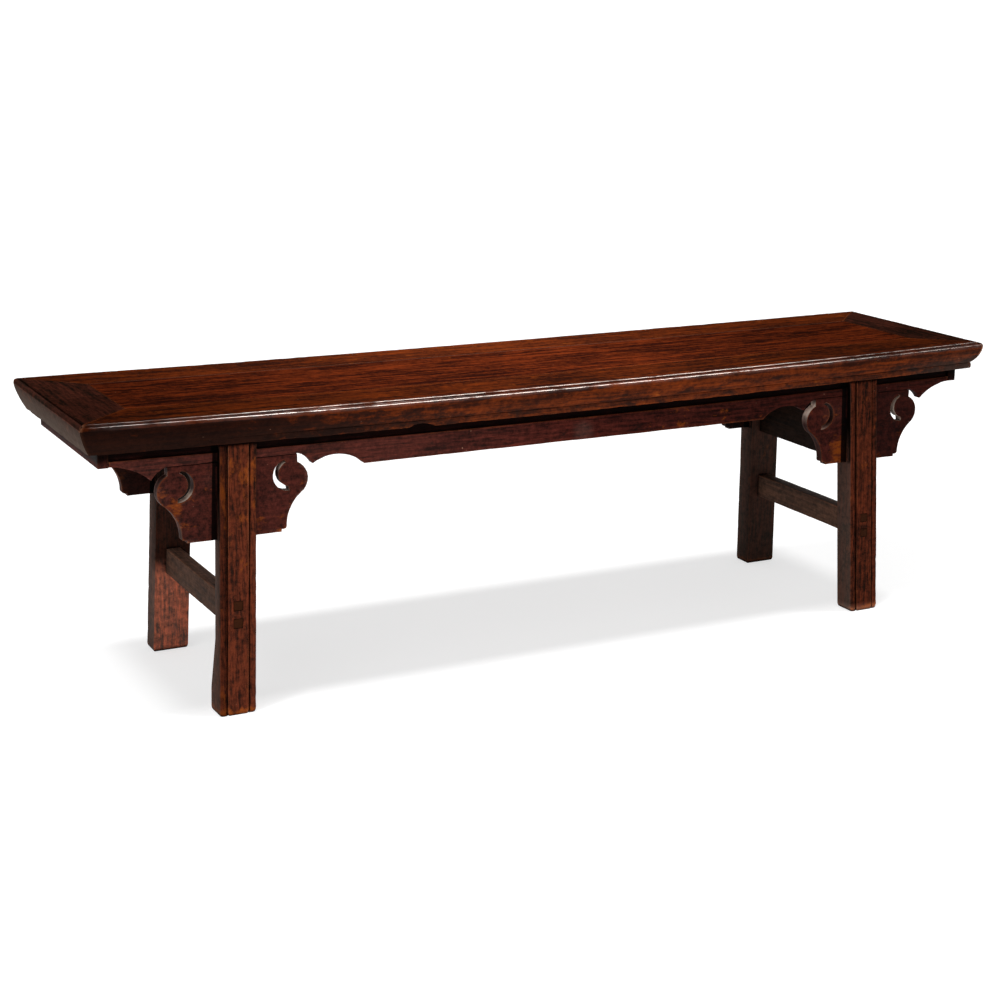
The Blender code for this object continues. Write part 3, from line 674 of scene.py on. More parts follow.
def weather_rail(bm, sizes, used):
    """Long use leaves the nose and lip wavy and nicked, the top uneven, and a chip in the front lip."""
    for vert in bm.verts:
        vert.co += inward(vert.co) * left_wear(sizes, vert.co)
    bm.normal_update()
    lip = sizes.nose_drop + sizes.thumb_height
    moves = []
    for vert in bm.verts:
        inset, drop = edge_place(vert.co)
        wave = 0.5 + 0.5 * noise.noise(vert.co / 0.110)
        grit = max(0.0, noise.noise(vert.co / 0.016) - 0.20)
        depth = sizes.board_dip * 0.6 * wave
        if inset < sizes.tongue_inset:
            depth = sizes.board_dip * 1.6 * wave + sizes.nick_depth * grit
        if inset < sizes.tongue_inset and drop > lip:
            depth += sizes.nick_depth * 1.6 * max(0.0, noise.noise(vert.co / 0.030) - 0.15)
        move = vert.normal * -depth
        if inset < sizes.tongue_inset:
            move = sunk(sizes, vert.co) * depth
        if drop < sizes.nose_drop:
            unworn = used * ramp(abs(vert.co.x), HALF_LENGTH * 0.55, HALF_LENGTH * 0.95)
            step_end = sizes.step_inset + sizes.step_round
            move.z += sizes.worn_drop * unworn * ramp(inset, sizes.worn_reach, step_end)
        off = abs(vert.co.x - sizes.chip_place)
        if vert.co.y < 0 and inset < sizes.tongue_inset and off < sizes.chip_width:
            chip = ramp(off, sizes.chip_width, 0.0) ** 0.4
            move.z += sizes.chip_depth * ramp(drop, lip, RAIL_HEIGHT) * chip
        moves.append(move)
    for vert, move in zip(bm.verts, moves):
        vert.co += move
    bmesh.ops.remove_doubles(bm, verts=bm.verts, dist=0.0001)
    bend(bm, sizes)


def rail_marks(sizes, long):
    """Marks of a rail: a polished arris, a moulded face with soot and painted shade, most at the left, and a
    paler seat.
    """

    def unbent(place):
        """Place of a point on the rail before the top was bent."""
        inset, drop = edge_place(place)
        return inset, drop + lift(sizes, place)

    def polish(place, facing):
        """Hands and clothes polish the rounded arris, less at its ends and at the back."""
        inset, drop = unbent(place)
        inset /= narrowed(place)
        on_step = ramp(inset, sizes.step_inset + sizes.step_round, sizes.step_inset + 0.5 * sizes.step_round)
        on_tread = ramp(inset, sizes.step_inset * 0.45, sizes.step_inset * 0.7)
        under = ramp(drop, sizes.nose_drop * 1.3, sizes.nose_drop * 0.8)
        on_tread *= ramp(drop, sizes.step_depth * 0.6, sizes.step_depth * 0.9)
        corner = leftward(place, 0.955, 0.985)
        on_tread *= 1.0 - 0.5 * leftward(place, 0.2, 0.5)
        ends = 0.55 * leftward(place, 0.66, 0.78) + 0.4 * ramp(place.x, 0.2, 0.6)
        back = 0.65 if place.y > 0 else 0.0
        return long * on_step * under * (1.0 - on_tread) * (1.0 - corner) * (1.0 - ends) * (1.0 - back)

    def soot(place, facing):
        """Soot lies on the moulded face, most at the left, and lower down under the nose it also paints the
        shade that falls there.
        """
        inset, drop = unbent(place)
        left = leftward(place, 0.20, 0.72)
        under = ramp(drop, sizes.nose_drop * (0.8 - 0.2 * left), sizes.nose_drop * (2.2 - 1.0 * left))
        low = ramp(drop, sizes.nose_drop * 2.5, sizes.nose_drop + sizes.thumb_height)
        right = rightward(place, 0.75, 0.98)
        return -0.6 + under * (0.65 + 0.05 * low + 0.24 * left + 0.18 * low * right)

    def shade(place, facing):
        """The moulded face darkens towards its ends, and the end rails' quirk is dark."""
        if unbent(place)[1] > sizes.nose_drop:
            left = leftward(place, 0.3, 0.75)
            right = rightward(place, 0.35, 0.7)
            return 1.0 - long * (0.52 * left + 0.16 * right)
        quirk = sizes.step_inset - sizes.quirk - edge_place(place)[0] / narrowed(place)
        dark = (1.0 - long) * ramp(abs(quirk), sizes.quirk * 3.0, sizes.quirk)
        return seat_shade(place, facing) * (0.78 if place.y < 0 else 1.0) * (1.0 - 0.7 * dark)

    def film(place, facing):
        """Dust and bare wood lie on the lower moulding, and dust and painted grey sheen on the end rails'
        moulded face and nose.
        """
        inset, drop = unbent(place)
        low = ramp(drop, sizes.nose_drop, sizes.nose_drop + sizes.thumb_height)
        right = rightward(place, 0.75, 0.98)
        face = (1.0 - long) * (0.10 + 0.22 * low) * ramp(drop, 0.007, 0.012)
        face += (1.0 - long) * 0.05 * ramp(inset, sizes.step_inset, sizes.step_inset * 0.6)
        return 0.012 + face + long * low * (0.03 + 0.12 * right)

    return {"polish": polish, "soot": soot, "shade": shade, "film": film}


def seat_shade(place, facing):
    """The seat is paler towards its middle and darker towards its ends."""
    ends = 0.2 * ramp(place.x, -0.45, -0.80) + 0.14 * ramp(place.x, 0.25, 0.50)
    return (1.08 - 0.46 * ramp(abs(place.x + 0.02), 0.12, 0.70)) * (1.0 - ends)


def leg_ends(node, axis=0):
    """How far a leg reaches along an axis, at its foot and at its shoulder."""
    points = [v.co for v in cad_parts[node].data.vertices]
    foot = [p[axis] for p in points if p.z < 0.002]
    shoulder = [p[axis] for p in points if abs(p.z - RAIL_FOOT) < 0.002]
    return (min(foot), max(foot)), (min(shoulder), max(shoulder))


def at_height(foot, top, height, whole):
    """Values at a height, between those at the foot and those at the top."""
    return [low + (high - low) * height / whole for low, high in zip(foot, top)]


def leg_sides():
    """The left side of each leg: its place at the shoulder, slope, facing and width of the painted shadow
    strip beside it.
    """
    sides = []
    for node in ("leg_front_left", "leg_front_right", "leg_back_left", "leg_back_right"):
        foot, shoulder = leg_ends(node)
        facing = -1.0 if "front" in node else 1.0
        width = CORNER_WIDTHS["left" if node.endswith("left") else "right"]
        sides.append((shoulder[0], (shoulder[0] - foot[0]) / RAIL_FOOT, facing, width))
    return sides


# Width of the painted shadow strip beside the legs at each end, and of its edge
CORNER_WIDTHS, CORNER_EDGE = {"left": 0.0080, "right": 0.0120}, 0.0015
LEG_SIDES = leg_sides()


def corner_cuts(bm):
    """Cuts along the edge of the painted shadow strip beside each leg."""
    for shoulder, slope, _, width in LEG_SIDES:
        for reach in (width, width + CORNER_EDGE):
            cut(bm, (shoulder - reach, 0.0, RAIL_FOOT), (1.0, 0.0, -slope))


def leg_corner_shade(place):
    """One in the corner to the left of a leg, where painted shade lies, and nothing elsewhere."""
    for shoulder, slope, facing, width in LEG_SIDES:
        off = shoulder + slope * (place.z - RAIL_FOOT) - place.x
        if place.y * facing > 0 and -0.003 < off < width + CORNER_EDGE:
            return ramp(off, width + CORNER_EDGE, width)
    return 0.0


class BENCH_OT_top_rails(bpy.types.Operator):
    """Moulds the four mitred rails of the top, with a small step along the arris and a worn nose"""

    bl_idname = "bench.top_rails"
    bl_label = "Top rails"

    def execute(self, context):
        sizes, colours = context.scene.bench_sizes, context.scene.bench_colours
        # Rubbed lacquer on elm: a dull satin, with the arris polished by hands and clothes
        long_wood = lacquered_elm(
            "rubbed_lacquered_elm", "X", (0.0, 0.13, -0.40),
            (colours.edge_deep, colours.edge_warm), colours,
            streak=(0.11, 0.009), streaky=0.8, patchy=0.45, rub=0.40, rough=0.66, gloss=0.0,
            balance=-0.15, grime_and_shade_reach=0.004, arris=True,
        )
        # The end rails have a darker tone
        end_wood = lacquered_elm(
            "darker_lacquered_elm", "Y", (0.0, 0.75, -0.42),
            (colours.end_deep, colours.end_warm), colours,
            streak=(0.09, 0.008), streaky=1.0, patchy=0.15, rub=0.20, rough=0.62, gloss=0.0,
            mottled=2.6, grime_and_shade_reach=0.004, arris=True,
        )
        rails = (
            ("front", 0.0, HALF_LENGTH, HALF_WIDTH, long_wood, 1.0),
            ("back", math.pi, HALF_LENGTH, HALF_WIDTH, long_wood, 1.0),
            ("left", -math.pi / 2, HALF_WIDTH, HALF_LENGTH, end_wood, 0.0),
            ("right", math.pi / 2, HALF_WIDTH, HALF_LENGTH, end_wood, 0.0),
        )
        for side, turn, along, across, wood, long in rails:
            used = 1.0 if side == "front" else 0.0
            bm = moulded_rail(sizes, along, across, used)
            bmesh.ops.rotate(bm, verts=bm.verts, cent=(0.0, 0.0, 0.0), matrix=Matrix.Rotation(turn, 3, "Z"))
            weather_rail(bm, sizes, used)
            node = "top_rail_" + side
            place_piece(bm, "moulded_rail_" + side, [node], wood, "rail", **rail_marks(sizes, long))
        return {"FINISHED"}


class BENCH_OT_top_panel(bpy.types.Operator):
    """Finishes the floating panel, with eased edges and a hand-planed face"""

    bl_idname = "bench.top_panel"
    bl_label = "Top panel"

    def execute(self, context):
        sizes, colours = context.scene.bench_sizes, context.scene.bench_colours
        # Lacquer rubbed thin by sitting: a dull board, its grain showing dark and warm
        wood = lacquered_elm(
            "rubbed_lacquered_elm_board", "X", (0.3, -0.03, -0.55),
            (colours.top_deep, colours.top_warm), colours,
            streak=(0.11, 0.010), streaky=1.1, patchy=0.3, rub=0.3, rough=0.68, gloss=0.0, balance=-0.15,
        )
        back_joint = HALF_WIDTH - RAIL_WIDTH
        joint_reach = 0.004

        def joint_film(place, facing):
            """A pale line runs along the joint with the back rail."""
            near = ramp(place.y, back_joint - joint_reach, back_joint - joint_reach / 2)
            return 0.008 + 0.26 * near * ramp(facing.z, 0.3, 0.6)

        bm = whole_faces("top_panel")
        ease(bm, sizes.arris_round * 0.7)
        slices(bm, 0, 0.020)
        slices(bm, 1, 0.014)
        cut(bm, (0.0, back_joint - joint_reach, 0.0), (0.0, 1.0, 0.0))
        age(bm, sizes.board_dip * 0.6, 0.0)
        bend(bm, sizes)
        place_piece(bm, "planed_panel", ["top_panel"], wood, "panel", shade=seat_shade, film=joint_film)
        return {"FINISHED"}


class BENCH_OT_battens(bpy.types.Operator):
    """Finishes the battens under the panel, left as bare planed elm"""

    bl_idname = "bench.battens"
    bl_label = "Battens"

    def execute(self, context):
        sizes, colours = context.scene.bench_sizes, context.scene.bench_colours
        # Elm left from the plane: pale, open-grained and without sheen
        wood = lacquered_elm(
            "planed_bare_elm", "Y", (0.1, 0.05, -0.41),
            (colours.plain_deep, colours.plain_warm), colours,
            streak=(0.09, 0.005), streaky=0.8, patchy=0.0, rub=0.2, rough=0.80, gloss=0.08,
        )
        inner = RAIL_BOX[1].y
        for number in range(1, 5):
            node = f"panel_batten_{number}"
            bm = whole_faces(node)
            for sign in (-1.0, 1.0):
                cut(bm, (0.0, sign * (abs(inner) - 0.0006), 0.0), (0.0, sign, 0.0), trim=True)
            ease(bm, sizes.arris_round)
            bend(bm, sizes)
            place_piece(bm, "planed_batten_" + str(number), [node], wood, "batten")
        return {"FINISHED"}


class BENCH_OT_aprons(bpy.types.Operator):
    """Finishes the aprons, with eased, slightly uneven edges"""

    bl_idname = "bench.aprons"
    bl_label = "Aprons"

    def execute(self, context):
        sizes, colours = context.scene.bench_sizes, context.scene.bench_colours
        grains = {"front": "X", "back": "X", "left": "Y", "right": "Y"}
        # Brushed lacquer on a planed board: an even, dark red-brown with a faint sheen
        woods = {
            grain: lacquered_elm(
                "brushed_lacquer_on_elm_" + grain, grain, heart,
                (colours.apron_deep, colours.apron_warm), colours,
                streak=(0.05, 0.005), streaky=0.8, patchy=0.10, rub=0.40, rough=0.55, gloss=0.015,
                mottled=2.0,
            )
            for grain, heart in (("X", (0.2, 0.16, -0.30)), ("Y", (0.2, 0.80, -0.32)))
        }

        def recess(place, facing):
            """Painted shade blackens the recess under the frame and the strip beside each leg; the boards
            darken towards the right, and the end aprons are darker.
            """
            drift = min(1.2, max(0.45, 1.0 - 1.05 * place.x))
            if abs(place.x) > APRON_BOX[1].x:
                drift *= 0.65
            under = place.z - lift(sizes, place)
            drift *= 1.0 - 0.92 * ramp(under, face_top - 0.0015, face_top)
            return drift * (1.0 - 0.95 * leg_corner_shade(place))

        def edge_wear(place, facing):
            """The lower edge is rubbed to the right of the middle."""
            near = ramp(place.z, SPANDREL_TOP + 0.014, SPANDREL_TOP + 0.004)
            beside = ramp(abs(place.x), 0.40, 0.44)
            return near * (0.16 * ramp(abs(place.x - 0.28), 0.16, 0.06) - 0.5 * beside)

        def dusty(place, facing):
            """A little dust greys the left half, and the face is scratched pale at the middle."""
            scratched = ramp(math.hypot(place.x - 0.018, place.z - 0.408), 0.024, 0.010)
            return 0.035 * ramp(place.x, 0.0, -0.35) + 0.10 * scratched

        face_top = RAIL_FOOT - sizes.reveal

        for side, grain in grains.items():
            node = "apron_" + side
            bm = whole_faces(node)
            ease(bm, sizes.arris_round * 0.8)
            slices(bm, 0 if grain == "X" else 1, 0.012)
            slices(bm, 2, 0.008)
            corner_cuts(bm)
            age(bm, sizes.board_dip, sizes.nick_depth)
            bend(bm, sizes, SPANDREL_TOP + 0.004, face_top)
            place_piece(
                bm, "eased_" + node, [node], woods[grain], "apron", shade=recess, wear=edge_wear, film=dusty
            )
        return {"FINISHED"}


# Places on the spandrels where the lacquer is rubbed through, as x, z, reach and strength
SPANDREL_SPOTS = (
    (-0.745, 0.387, 0.016, 0.14),
    (-0.725, 0.355, 0.018, 0.14),
    (-0.715, 0.335, 0.018, 0.12),
    (-0.675, 0.352, 0.014, 0.12),
    (0.575, 0.320, 0.040, 0.11),
    (0.560, 0.345, 0.040, 0.06),
)
# Middles of the pierced crescents, as distances from the bench's middle, their height, and their reach
CRESCENTS, CRESCENT_HEIGHT, CRESCENT_REACH = (0.7128, 0.5268), 0.3885, 0.0265


def pierced(place, facing):
    """One on the walls of the pierced crescents, most on those that dust can lie on at the left."""
    off = min(math.hypot(abs(place.x) - x, place.z - CRESCENT_HEIGHT) for x in CRESCENTS)
    wall = ramp(abs(facing.y), 0.6, 0.3) * ramp(off, CRESCENT_REACH + 0.005, CRESCENT_REACH)
    return wall * (1.0 if place.x > 0 else ramp(facing.z, 0.2, 0.6))


def inner_side(place, facing):
    """One on the inner faces of the boards at the back, which stay in the dark."""
    return ramp(-facing.y, 0.2, 0.6) if place.y > 0 else 0.0


class BENCH_OT_spandrels(bpy.types.Operator):
    """Finishes the cloud-shaped spandrels, with eased outlines and crescents"""

    bl_idname = "bench.spandrels"
    bl_label = "Spandrels"

    def execute(self, context):
        sizes, colours = context.scene.bench_sizes, context.scene.bench_colours
        # Brushed lacquer, mottled and rubbed through in spots: deep red-brown, a faint sheen
        wood = lacquered_elm(
            "worn_lacquer_on_elm_boards", "X", (0.45, 0.14, -0.45),
            (colours.apron_deep, colours.apron_warm), colours,
            streak=(0.06, 0.008), streaky=0.35, patchy=0.40, rub=0.5, rough=0.55, gloss=0.02,
            mottled=3.4, grime_and_shade_reach=0.004,
        )

        def sawn(place, facing):
            """The sawn outline is left rough and pale."""
            deep_in = min(place.y - SPANDREL_BOX[0].y, SPANDREL_BOX[1].y - place.y)
            if place.y > 0:
                deep_in = min(place.y + SPANDREL_BOX[1].y, -SPANDREL_BOX[0].y - place.y)
            under = ramp(place.z, SPANDREL_TOP - 0.0005, SPANDREL_TOP - 0.004)
            pale = ramp(deep_in, sizes.arris_round * 0.3, sizes.arris_round * 0.9)
            pale *= ramp(deep_in, 0.007, 0.002)
            dust = 0.02 if place.x < 0 else 0.0
            walls = 0.75 * pierced(place, facing)
            return dust + 0.30 * under * pale + walls + 0.06 * inner_side(place, facing)

        def seam(place, facing):
            """Soot in the seam under the apron."""
            return -0.10 + 0.06 * ramp(place.z, SPANDREL_TOP - 0.004, SPANDREL_TOP - 0.001)

        def foot_wear(place, facing):
            """The lacquer is worn most towards the foot."""
            seam_line = ramp(place.z, SPANDREL_TOP - 0.005, SPANDREL_TOP - 0.002)
            spots = sum(
                amount * ramp(math.hypot(place.x - x, place.z - z), reach, reach * 0.3)
                for x, z, reach, amount in SPANDREL_SPOTS
            )
            foot = ramp(place.z, SPANDREL_TOP - 0.05, SPANDREL_FOOT)
            return 0.02 + 0.04 * foot + spots - 0.5 * seam_line

        def dark_sides(place, facing):
            """The sawn outline is darker than the face, the right-hand boards are darker, the inner faces at
            the back darker still, and painted shade blackens the corner beside the leg; the crescent walls
            are pale with dust and painted light.
            """
            hand = 0.95 if place.x < 0 else 0.60 if place.x < 0.62 else 0.36
            hand *= 1.0 - 0.75 * inner_side(place, facing)
            sides = 0.5 * ramp(abs(facing.y), 0.6, 0.3)
            pale = pierced(place, facing)
            # Crescent walls: pale dust and painted light, brighter on walls facing up or down
            dust_and_light = 1.4 + (2.0 * ramp(abs(facing.z), 0.2, 0.6) if -0.75 < place.x < 0.62 else 0.0)
            return (hand * (1.0 - sides) * (1.0 - pale) + dust_and_light * pale) * (1.0 - 0.95 * leg_corner_shade(place))

        for side in ("front", "back"):
            for hand in ("left", "right"):
                node = f"spandrel_{side}_{hand}"
                bm = whole_faces(node)
                ease(bm, sizes.arris_round)
                slices(bm, 0, sizes.slice_step)
                slices(bm, 1, 0.004)
                slices(bm, 2, sizes.slice_step)
                corner_cuts(bm)
                age(bm, sizes.board_dip, sizes.nick_depth)
                place_piece(
                    bm, "eased_" + node, [node], wood, "spandrel",
                    film=sawn, soot=seam, wear=foot_wear, shade=dark_sides,
                )
        return {"FINISHED"}


class BENCH_OT_legs(bpy.types.Operator):
    """Finishes the beaded legs, with worn beads, arrises and feet"""

    bl_idname = "bench.legs"
    bl_label = "Legs"

    def execute(self, context):
        sizes, colours = context.scene.bench_sizes, context.scene.bench_colours
        # Lacquer worn by hands and feet: fine dark streaks between warm patches
        wood = lacquered_elm(
            "worn_lacquered_elm", "Z", (0.1, 0.17, -0.58),
            (colours.leg_deep, colours.leg_warm), colours,
            streak=(0.07, 0.004), streaky=0.9, patchy=0.5, rub=0.32, rough=0.52, gloss=0.004, mottled=3.0,
        )
        head = RAIL_FOOT - 0.0003
        # Tone of each leg, painted light and shade: the front right darker, the back legs darker still under
        # the seat
        tones = {
            "leg_front_left": 0.97, "leg_front_right": 0.64,
            "leg_back_left": 0.28, "leg_back_right": 0.33,
        }
        greys = {
            "leg_front_left": 0.015, "leg_front_right": 0.01,
            "leg_back_left": 0.14, "leg_back_right": 0.27,
        }

        feet = {node: leg_ends(node) for node in tones}
        depths = {node: leg_ends(node, 1) for node in tones}
        tenons = {True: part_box("cross_rail_lower_left"), False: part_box("cross_rail_lower_right")}

        def on_side(node, place, facing):
            """One on the sides that face along the bench, but for the beads, and nothing elsewhere."""
            low, high = at_height(*feet[node], place.z, RAIL_FOOT)
            near = min(place.x - low, high - place.x)
            return ramp(abs(facing.x), 0.6, 0.9) * ramp(near, 0.009, 0.008)

        def left_bead(node, place, facing):
            """One on the bead along the left of a leg's front."""
            left = at_height(*feet[node], place.z, RAIL_FOOT)[0]
            return ramp(place.x - left, 0.0125, 0.0115) * ramp(-facing.y, -0.1, 0.1)

        def outer(node, place):
            """One on the outer half of a back leg, and nothing elsewhere."""
            near, far = at_height(*depths[node], place.z, RAIL_FOOT)
            return ramp(place.y, (near + far) / 2, (near + far) / 2 + 0.004) if place.y > 0 else 0.0

        def leg_marks(node):
            """Marks of one leg."""
            hand = "left" if node.endswith("left") else "right"

            def low(place):
                """One low on the back-left leg, but for its outer face, where painted light brightens it."""
                inner = 1.0 - outer(node, place)
                return inner * ramp(place.z, 0.175, 0.135) if node == "leg_back_left" else 0.0

            def shade(place, facing):
                """Each leg's tone is painted light and shade, and painted shade blackens and darkens its
                sides.
                """
                side = on_side(node, place, facing)
                corner = side * ramp(place.z, SPANDREL_FOOT - 0.004, SPANDREL_FOOT + 0.004)
                # Painted light brightens the back-left leg low down; the front-right foot is scuffed paler
                bare = (3.5 - 2.5 * side) * low(place)
                if node == "leg_front_right":
                    bare = 0.5 * ramp(place.z, 0.014, 0.005)
                # Painted shade on the sides that face along the bench
                painted_side_shade = side * (0.35 if "back" in node or hand == "right" else 0.45)
                own = tones[node] + (tones["leg_front_right"] - tones[node]) * outer(node, place)
                # Painted shade on the front-left leg's left bead
                painted_bead_shade = 0.42 * left_bead(node, place, facing) if node == "leg_front_left" else 0.0
                return max(own + bare, 0.0) * (1.0 - 0.97 * corner) * (1.0 - painted_side_shade) * (1.0 - painted_bead_shade)

            def film(place, facing):
                """Dust greys the inner faces and the front-right leg's scuffed foot; dust and painted grey
                sheen lie on the sides.
                """
                scuffed = 0.25 * ramp(place.z, 0.012, 0.004) if node == "leg_front_right" else 0.0
                side = on_side(node, place, facing)
                inner = (1.0 - outer(node, place)) * (1.0 - side) * (greys[node] - 0.08 * low(place))
                return 0.02 + scuffed + inner + 0.36 * side

            def wear(place, facing):
                """The front-left leg is rubbed most on the upper part of its face."""
                own = -0.5 * low(place)
                if node == "leg_front_left":
                    own = 0.08 * ramp(place.z, 0.29, 0.33) * ramp(place.z, 0.44, 0.42)
                    own *= ramp(-facing.y, 0.6, 0.9)
                return foot_wear(place, facing) + own

            return {"shade": shade, "film": film, "wear": wear}

        def foot_wear(place, facing):
            """The foot is scuffed bare, and the lacquer is whole round the lower rail's tenons."""
            rail = tenons[place.x < 0]
            off = abs(place.x - (rail[0].x + rail[1].x) / 2)
            beside = rail[0].z - 0.01 < place.z < rail[1].z + 0.01 and off < 0.02
            return 0.30 * ramp(place.z, 0.016, 0.004) - (0.6 if beside else 0.0)

        def round_foot(bm):
            """The foot is worn round below, drawn in towards its middle."""
            for share in (0.15, 0.4, 0.7, 1.0):
                cut(bm, (0.0, 0.0, sizes.foot_round * share), (0.0, 0.0, 1.0))
            low = [v for v in bm.verts if v.co.z < sizes.foot_round]
            middle = sum((v.co for v in low), Vector()) / len(low)
            for vert in low:
                worn = 0.11 * (1.0 - math.sqrt(1.0 - (1.0 - max(vert.co.z, 0.0) / sizes.foot_round) ** 2))
                vert.co.x += (middle.x - vert.co.x) * worn
                vert.co.y += (middle.y - vert.co.y) * worn

        def hollow(bm, outward):
            """A front leg's outer side is worn hollow towards the back, from foot to spandrel."""
            foot = [v.co for v in bm.verts if v.co.z < 0.001]
            top = [v.co for v in bm.verts if v.co.z > head - 0.001]
            ends = [
                (min(c.y for c in ring), max(c.y for c in ring), sum(c.x for c in ring) / len(ring))
                for ring in (foot, top)
            ]
            for vert in bm.verts:
                near, far, middle = at_height(*ends, vert.co.z, head)
                if (vert.co.x - middle) * outward > 0:
                    depth = sizes.leg_hollow * ramp(vert.co.y, near + 0.2 * (far - near), far)
                    span = ramp(vert.co.z, 0.04, 0.12) * ramp(vert.co.z, 0.40, 0.33)
                    vert.co.x -= outward * depth * span

        for side in ("front", "back"):
            for hand in ("left", "right"):
                node = f"leg_{side}_{hand}"
                bm = whole_faces(node)
                cut(bm, (0.0, 0.0, head - 0.0002), (0.0, 0.0, 1.0), trim=True)
                ease(bm, sizes.arris_round, upright=True)
                slices(bm, 2, sizes.slice_step)
                round_foot(bm)
                if side == "front":
                    hollow(bm, -1.0 if hand == "left" else 1.0)
                age(bm, sizes.board_dip, sizes.nick_depth)
                for vert in bm.verts:
                    vert.co.z = max(vert.co.z, 0.0)
                place_piece(bm, "worn_" + node, [node], wood, "leg", **leg_marks(node))
        return {"FINISHED"}


class BENCH_OT_cross_rails(bpy.types.Operator):
    """Finishes the cross rails between the legs, with worn upper edges"""

    bl_idname = "bench.cross_rails"
    bl_label = "Cross rails"

    def execute(self, context):
        sizes, colours = context.scene.bench_sizes, context.scene.bench_colours
        # Lacquer under soot and dust: a grey-brown that hides most of the grain
        wood = lacquered_elm(
            "sooty_lacquered_elm", "Y", (0.1, 0.62, -0.20),
            (colours.cross_deep, colours.cross_warm), colours,
            streak=(0.09, 0.006), streaky=0.6, patchy=0.15, rub=0.18, rough=0.55, gloss=0.01,
        )
        # Tones of the lower and upper rails; the upper rails are darkened with painted shade
        tones = {"lower": 1.15, "upper": 0.19}
        # The left lower rail's upper side is rubbed pale by feet; the right's is darkened with painted shade
        rubbed = {"left": 1.1, "right": -0.2}
        tenon_tones = {"left": 0.13, "right": 0.10}
        for level in ("lower", "upper"):
            for end in ("left", "right"):
                node = f"cross_rail_{level}_{end}"
                bm = whole_faces(node)
                if level == "lower":
                    self.wear_edge(bm, sizes.rail_wear, -1.0 if end == "left" else 1.0)
                ease(bm, sizes.arris_round)
                slices(bm, 1, sizes.slice_step)
                age(bm, sizes.board_dip, sizes.nick_depth)
                reach = max(abs(v.co.y) for v in bm.verts) - 0.006

                def shade(place, facing):
                    """Feet have rubbed the left lower rail's upper side pale, painted shade darkens the
                    right's upper side and the upper rails, and the tenons' ends are dark.
                    """
                    if abs(place.y) > reach:
                        return tenon_tones[end]
                    return tones[level] * (1.0 + rubbed[end] * ramp(facing.z, 0.2, 0.7))

                def wear(place, facing):
                    """The tenons' ends have lost their lacquer."""
                    return 1.0 if abs(place.y) > reach else 0.0

                place_piece(
                    bm, "eased_" + node, [node], wood, "cross_rail", shade=shade, wear=wear, film=0.06
                )
        return {"FINISHED"}

    def wear_edge(self, bm, radius, outward):
        """Rounds the upper outer edge, where feet have rested."""
        top = max(v.co.z for v in bm.verts)
        side = max(v.co.x * outward for v in bm.verts)
        edges = [
            e for e in bm.edges
            if all(v.co.z > top - 0.0005 and v.co.x * outward > side - 0.0005 for v in e.verts)
        ]
        round_edges(bm, edges, radius, 5)


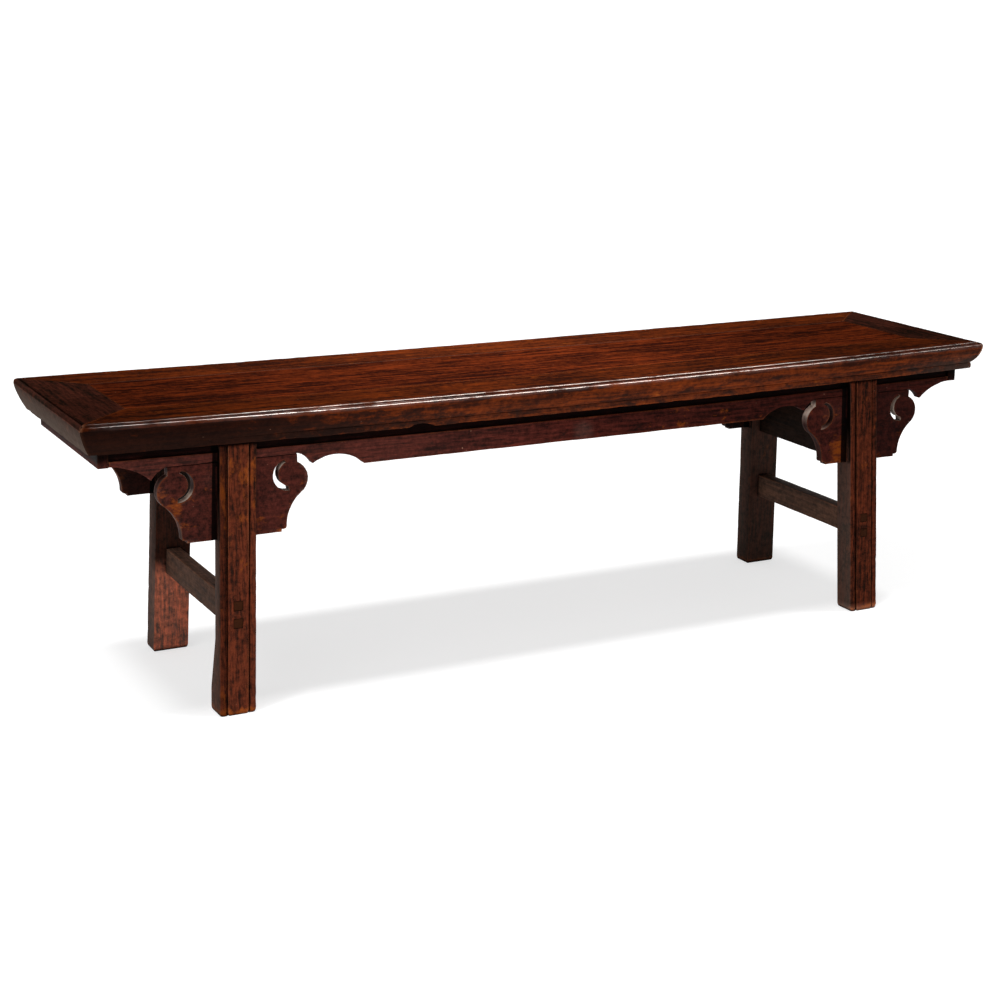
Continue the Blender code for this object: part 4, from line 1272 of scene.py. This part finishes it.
class BENCH_OT_studio(bpy.types.Operator):
    """Sets the pale floor, the soft light and the camera"""

    bl_idname = "bench.studio"
    bl_label = "Studio"

    def execute(self, context):
        self.lay_floor(context)
        self.light(context)
        self.set_camera(context)
        context.scene.view_settings.view_transform = "Standard"
        return {"FINISHED"}

    def seen_directly(self, tree):
        """One for rays from the camera, a gloss or a glass, which meet the studio's white."""
        seen = add(tree, "LightPath", output="Is Camera Ray")
        for other in ("Is Glossy Ray", "Is Transmission Ray"):
            also = add(tree, "LightPath", output=other)
            seen = add(tree, "Math", {"Value": seen, "Value_001": also}, operation="MAXIMUM")
        return seen

    def lay_floor(self, context):
        """Lays the floor, a little under the feet."""
        studio, colours = context.scene.bench_studio, context.scene.bench_colours
        # Matt white paint: it keeps the bench's shadow, over a share of plain white
        paint = bpy.data.materials.new("matt_painted_floor")
        paint.use_nodes = True
        tree = paint.node_tree
        tree.nodes.clear()
        lit = add(tree, "BsdfDiffuse", {"Color": opaque(colours.floor)})
        pale = add(tree, "BsdfDiffuse", {"Color": opaque([c * studio.floor_share for c in colours.floor])})
        white = add(tree, "Emission", {"Color": (1.0, 1.0, 1.0, 1.0), "Strength": studio.floor_glow})
        soft = add(tree, "AddShader", {"Shader": pale, "Shader_001": white})
        shown = add(tree, "MixShader", {"Fac": self.seen_directly(tree), "Shader": lit, "Shader_001": soft})
        add(tree, "OutputMaterial", {"Surface": shown})
        bm = bmesh.new()
        bmesh.ops.create_grid(bm, x_segments=1, y_segments=1, size=studio.floor_size / 2)
        bmesh.ops.translate(bm, vec=(0.0, 0.0, -0.0003), verts=bm.verts)
        mesh = bpy.data.meshes.new("studio_floor")
        bm.to_mesh(mesh)
        bm.free()
        mesh.materials.append(paint)
        floor = bpy.data.objects.new("studio_floor", mesh)
        context.scene.collection.objects.link(floor)

    def light(self, context):
        """Hangs the lamps and sets the white walls."""
        studio = context.scene.bench_studio
        x, y, z = studio.key_direction
        for side, place in (("left", (-x, y, z)), ("right", (x, y, z))):
            self.hang_lamp(context, "key_light_" + side, place, studio.key_strength, studio.key_angle)
        self.hang_lamp(context, "side_light", studio.side_direction, studio.side_strength, studio.side_angle)
        glint = self.hang_lamp(
            context, "glint_light", studio.glint_direction, studio.glint_strength, studio.glint_angle
        )
        # Only polished wood shows this lamp, so it adds no second shadow
        glint.visible_diffuse = False
        glint.data.color = studio.glint_colour
        world = bpy.data.worlds.new("studio_walls")
        world.use_nodes = True
        tree = world.node_tree
        tree.nodes.clear()
        fill = add(tree, "Background", {"Color": (1.0, 1.0, 1.0, 1.0), "Strength": studio.fill_strength})
        white = add(tree, "Background", {"Color": (1.0, 1.0, 1.0, 1.0), "Strength": 1.0})
        shown = add(tree, "MixShader", {"Fac": self.seen_directly(tree), "Shader": fill, "Shader_001": white})
        add(tree, "OutputWorld", {"Surface": shown})
        context.scene.world = world

    def hang_lamp(self, context, name, direction, strength, angle):
        """Hangs one distant lamp."""
        sun = bpy.data.lights.new(name, "SUN")
        sun.energy = strength
        sun.angle = angle
        lamp = bpy.data.objects.new(name, sun)
        lamp.rotation_mode = "QUATERNION"
        lamp.rotation_quaternion = Vector(direction).to_track_quat("Z", "Y")
        context.scene.collection.objects.link(lamp)
        return lamp

    def set_camera(self, context):
        """Stands the camera where the photograph was taken from."""
        studio = context.scene.bench_studio
        camera = bpy.data.cameras.new("photo_camera")
        camera.sensor_width = 36.0
        camera.lens = studio.camera_lens
        camera.shift_x, camera.shift_y = studio.camera_shift
        camera.clip_end = 1000.0
        turn = Matrix.Rotation(-studio.camera_azimuth, 4, "Z")
        tilt = Matrix.Rotation(math.pi / 2 - studio.camera_pitch, 4, "X")
        roll = Matrix.Rotation(studio.camera_roll, 4, "Z")
        stand = bpy.data.objects.new("photo_camera", camera)
        stand.matrix_world = Matrix.Translation(studio.camera_place) @ turn @ tilt @ roll
        context.scene.collection.objects.link(stand)
        context.scene.camera = stand


OPERATORS = (
    BENCH_OT_top_rails,
    BENCH_OT_top_panel,
    BENCH_OT_battens,
    BENCH_OT_aprons,
    BENCH_OT_spandrels,
    BENCH_OT_legs,
    BENCH_OT_cross_rails,
    BENCH_OT_studio,
)


class BENCH_PT_pieces(bpy.types.Panel):
    """Lists the bench's pieces, sizes and tones in the sidebar"""

    bl_idname = "BENCH_PT_pieces"
    bl_label = "Elm bench"
    bl_space_type = "VIEW_3D"
    bl_region_type = "UI"
    bl_category = "Bench"

    def draw(self, context):
        """Draws the panel."""
        for operator in OPERATORS:
            self.layout.operator(operator.bl_idname)
        for group in (context.scene.bench_sizes, context.scene.bench_colours, context.scene.bench_studio):
            for name in group.__annotations__:
                self.layout.prop(group, name)


CLASSES = (BenchSizes, BenchColours, StudioSettings, *OPERATORS, BENCH_PT_pieces)


def register():
    """Registers the classes and the settings on the scene."""
    for cls in CLASSES:
        bpy.utils.register_class(cls)
    bpy.types.Scene.bench_sizes = PointerProperty(type=BenchSizes)
    bpy.types.Scene.bench_colours = PointerProperty(type=BenchColours)
    bpy.types.Scene.bench_studio = PointerProperty(type=StudioSettings)


def unregister():
    """Takes the settings and the classes away."""
    del bpy.types.Scene.bench_studio
    del bpy.types.Scene.bench_colours
    del bpy.types.Scene.bench_sizes
    for cls in reversed(CLASSES):
        bpy.utils.unregister_class(cls)


def main():
    """Builds the bench and its studio, and notes the sizes."""
    register()
    bpy.ops.bench.top_rails()
    bpy.ops.bench.top_panel()
    bpy.ops.bench.battens()
    bpy.ops.bench.aprons()
    bpy.ops.bench.spandrels()
    bpy.ops.bench.legs()
    bpy.ops.bench.cross_rails()
    bpy.ops.bench.studio()


if __name__ == "__main__":
    main()
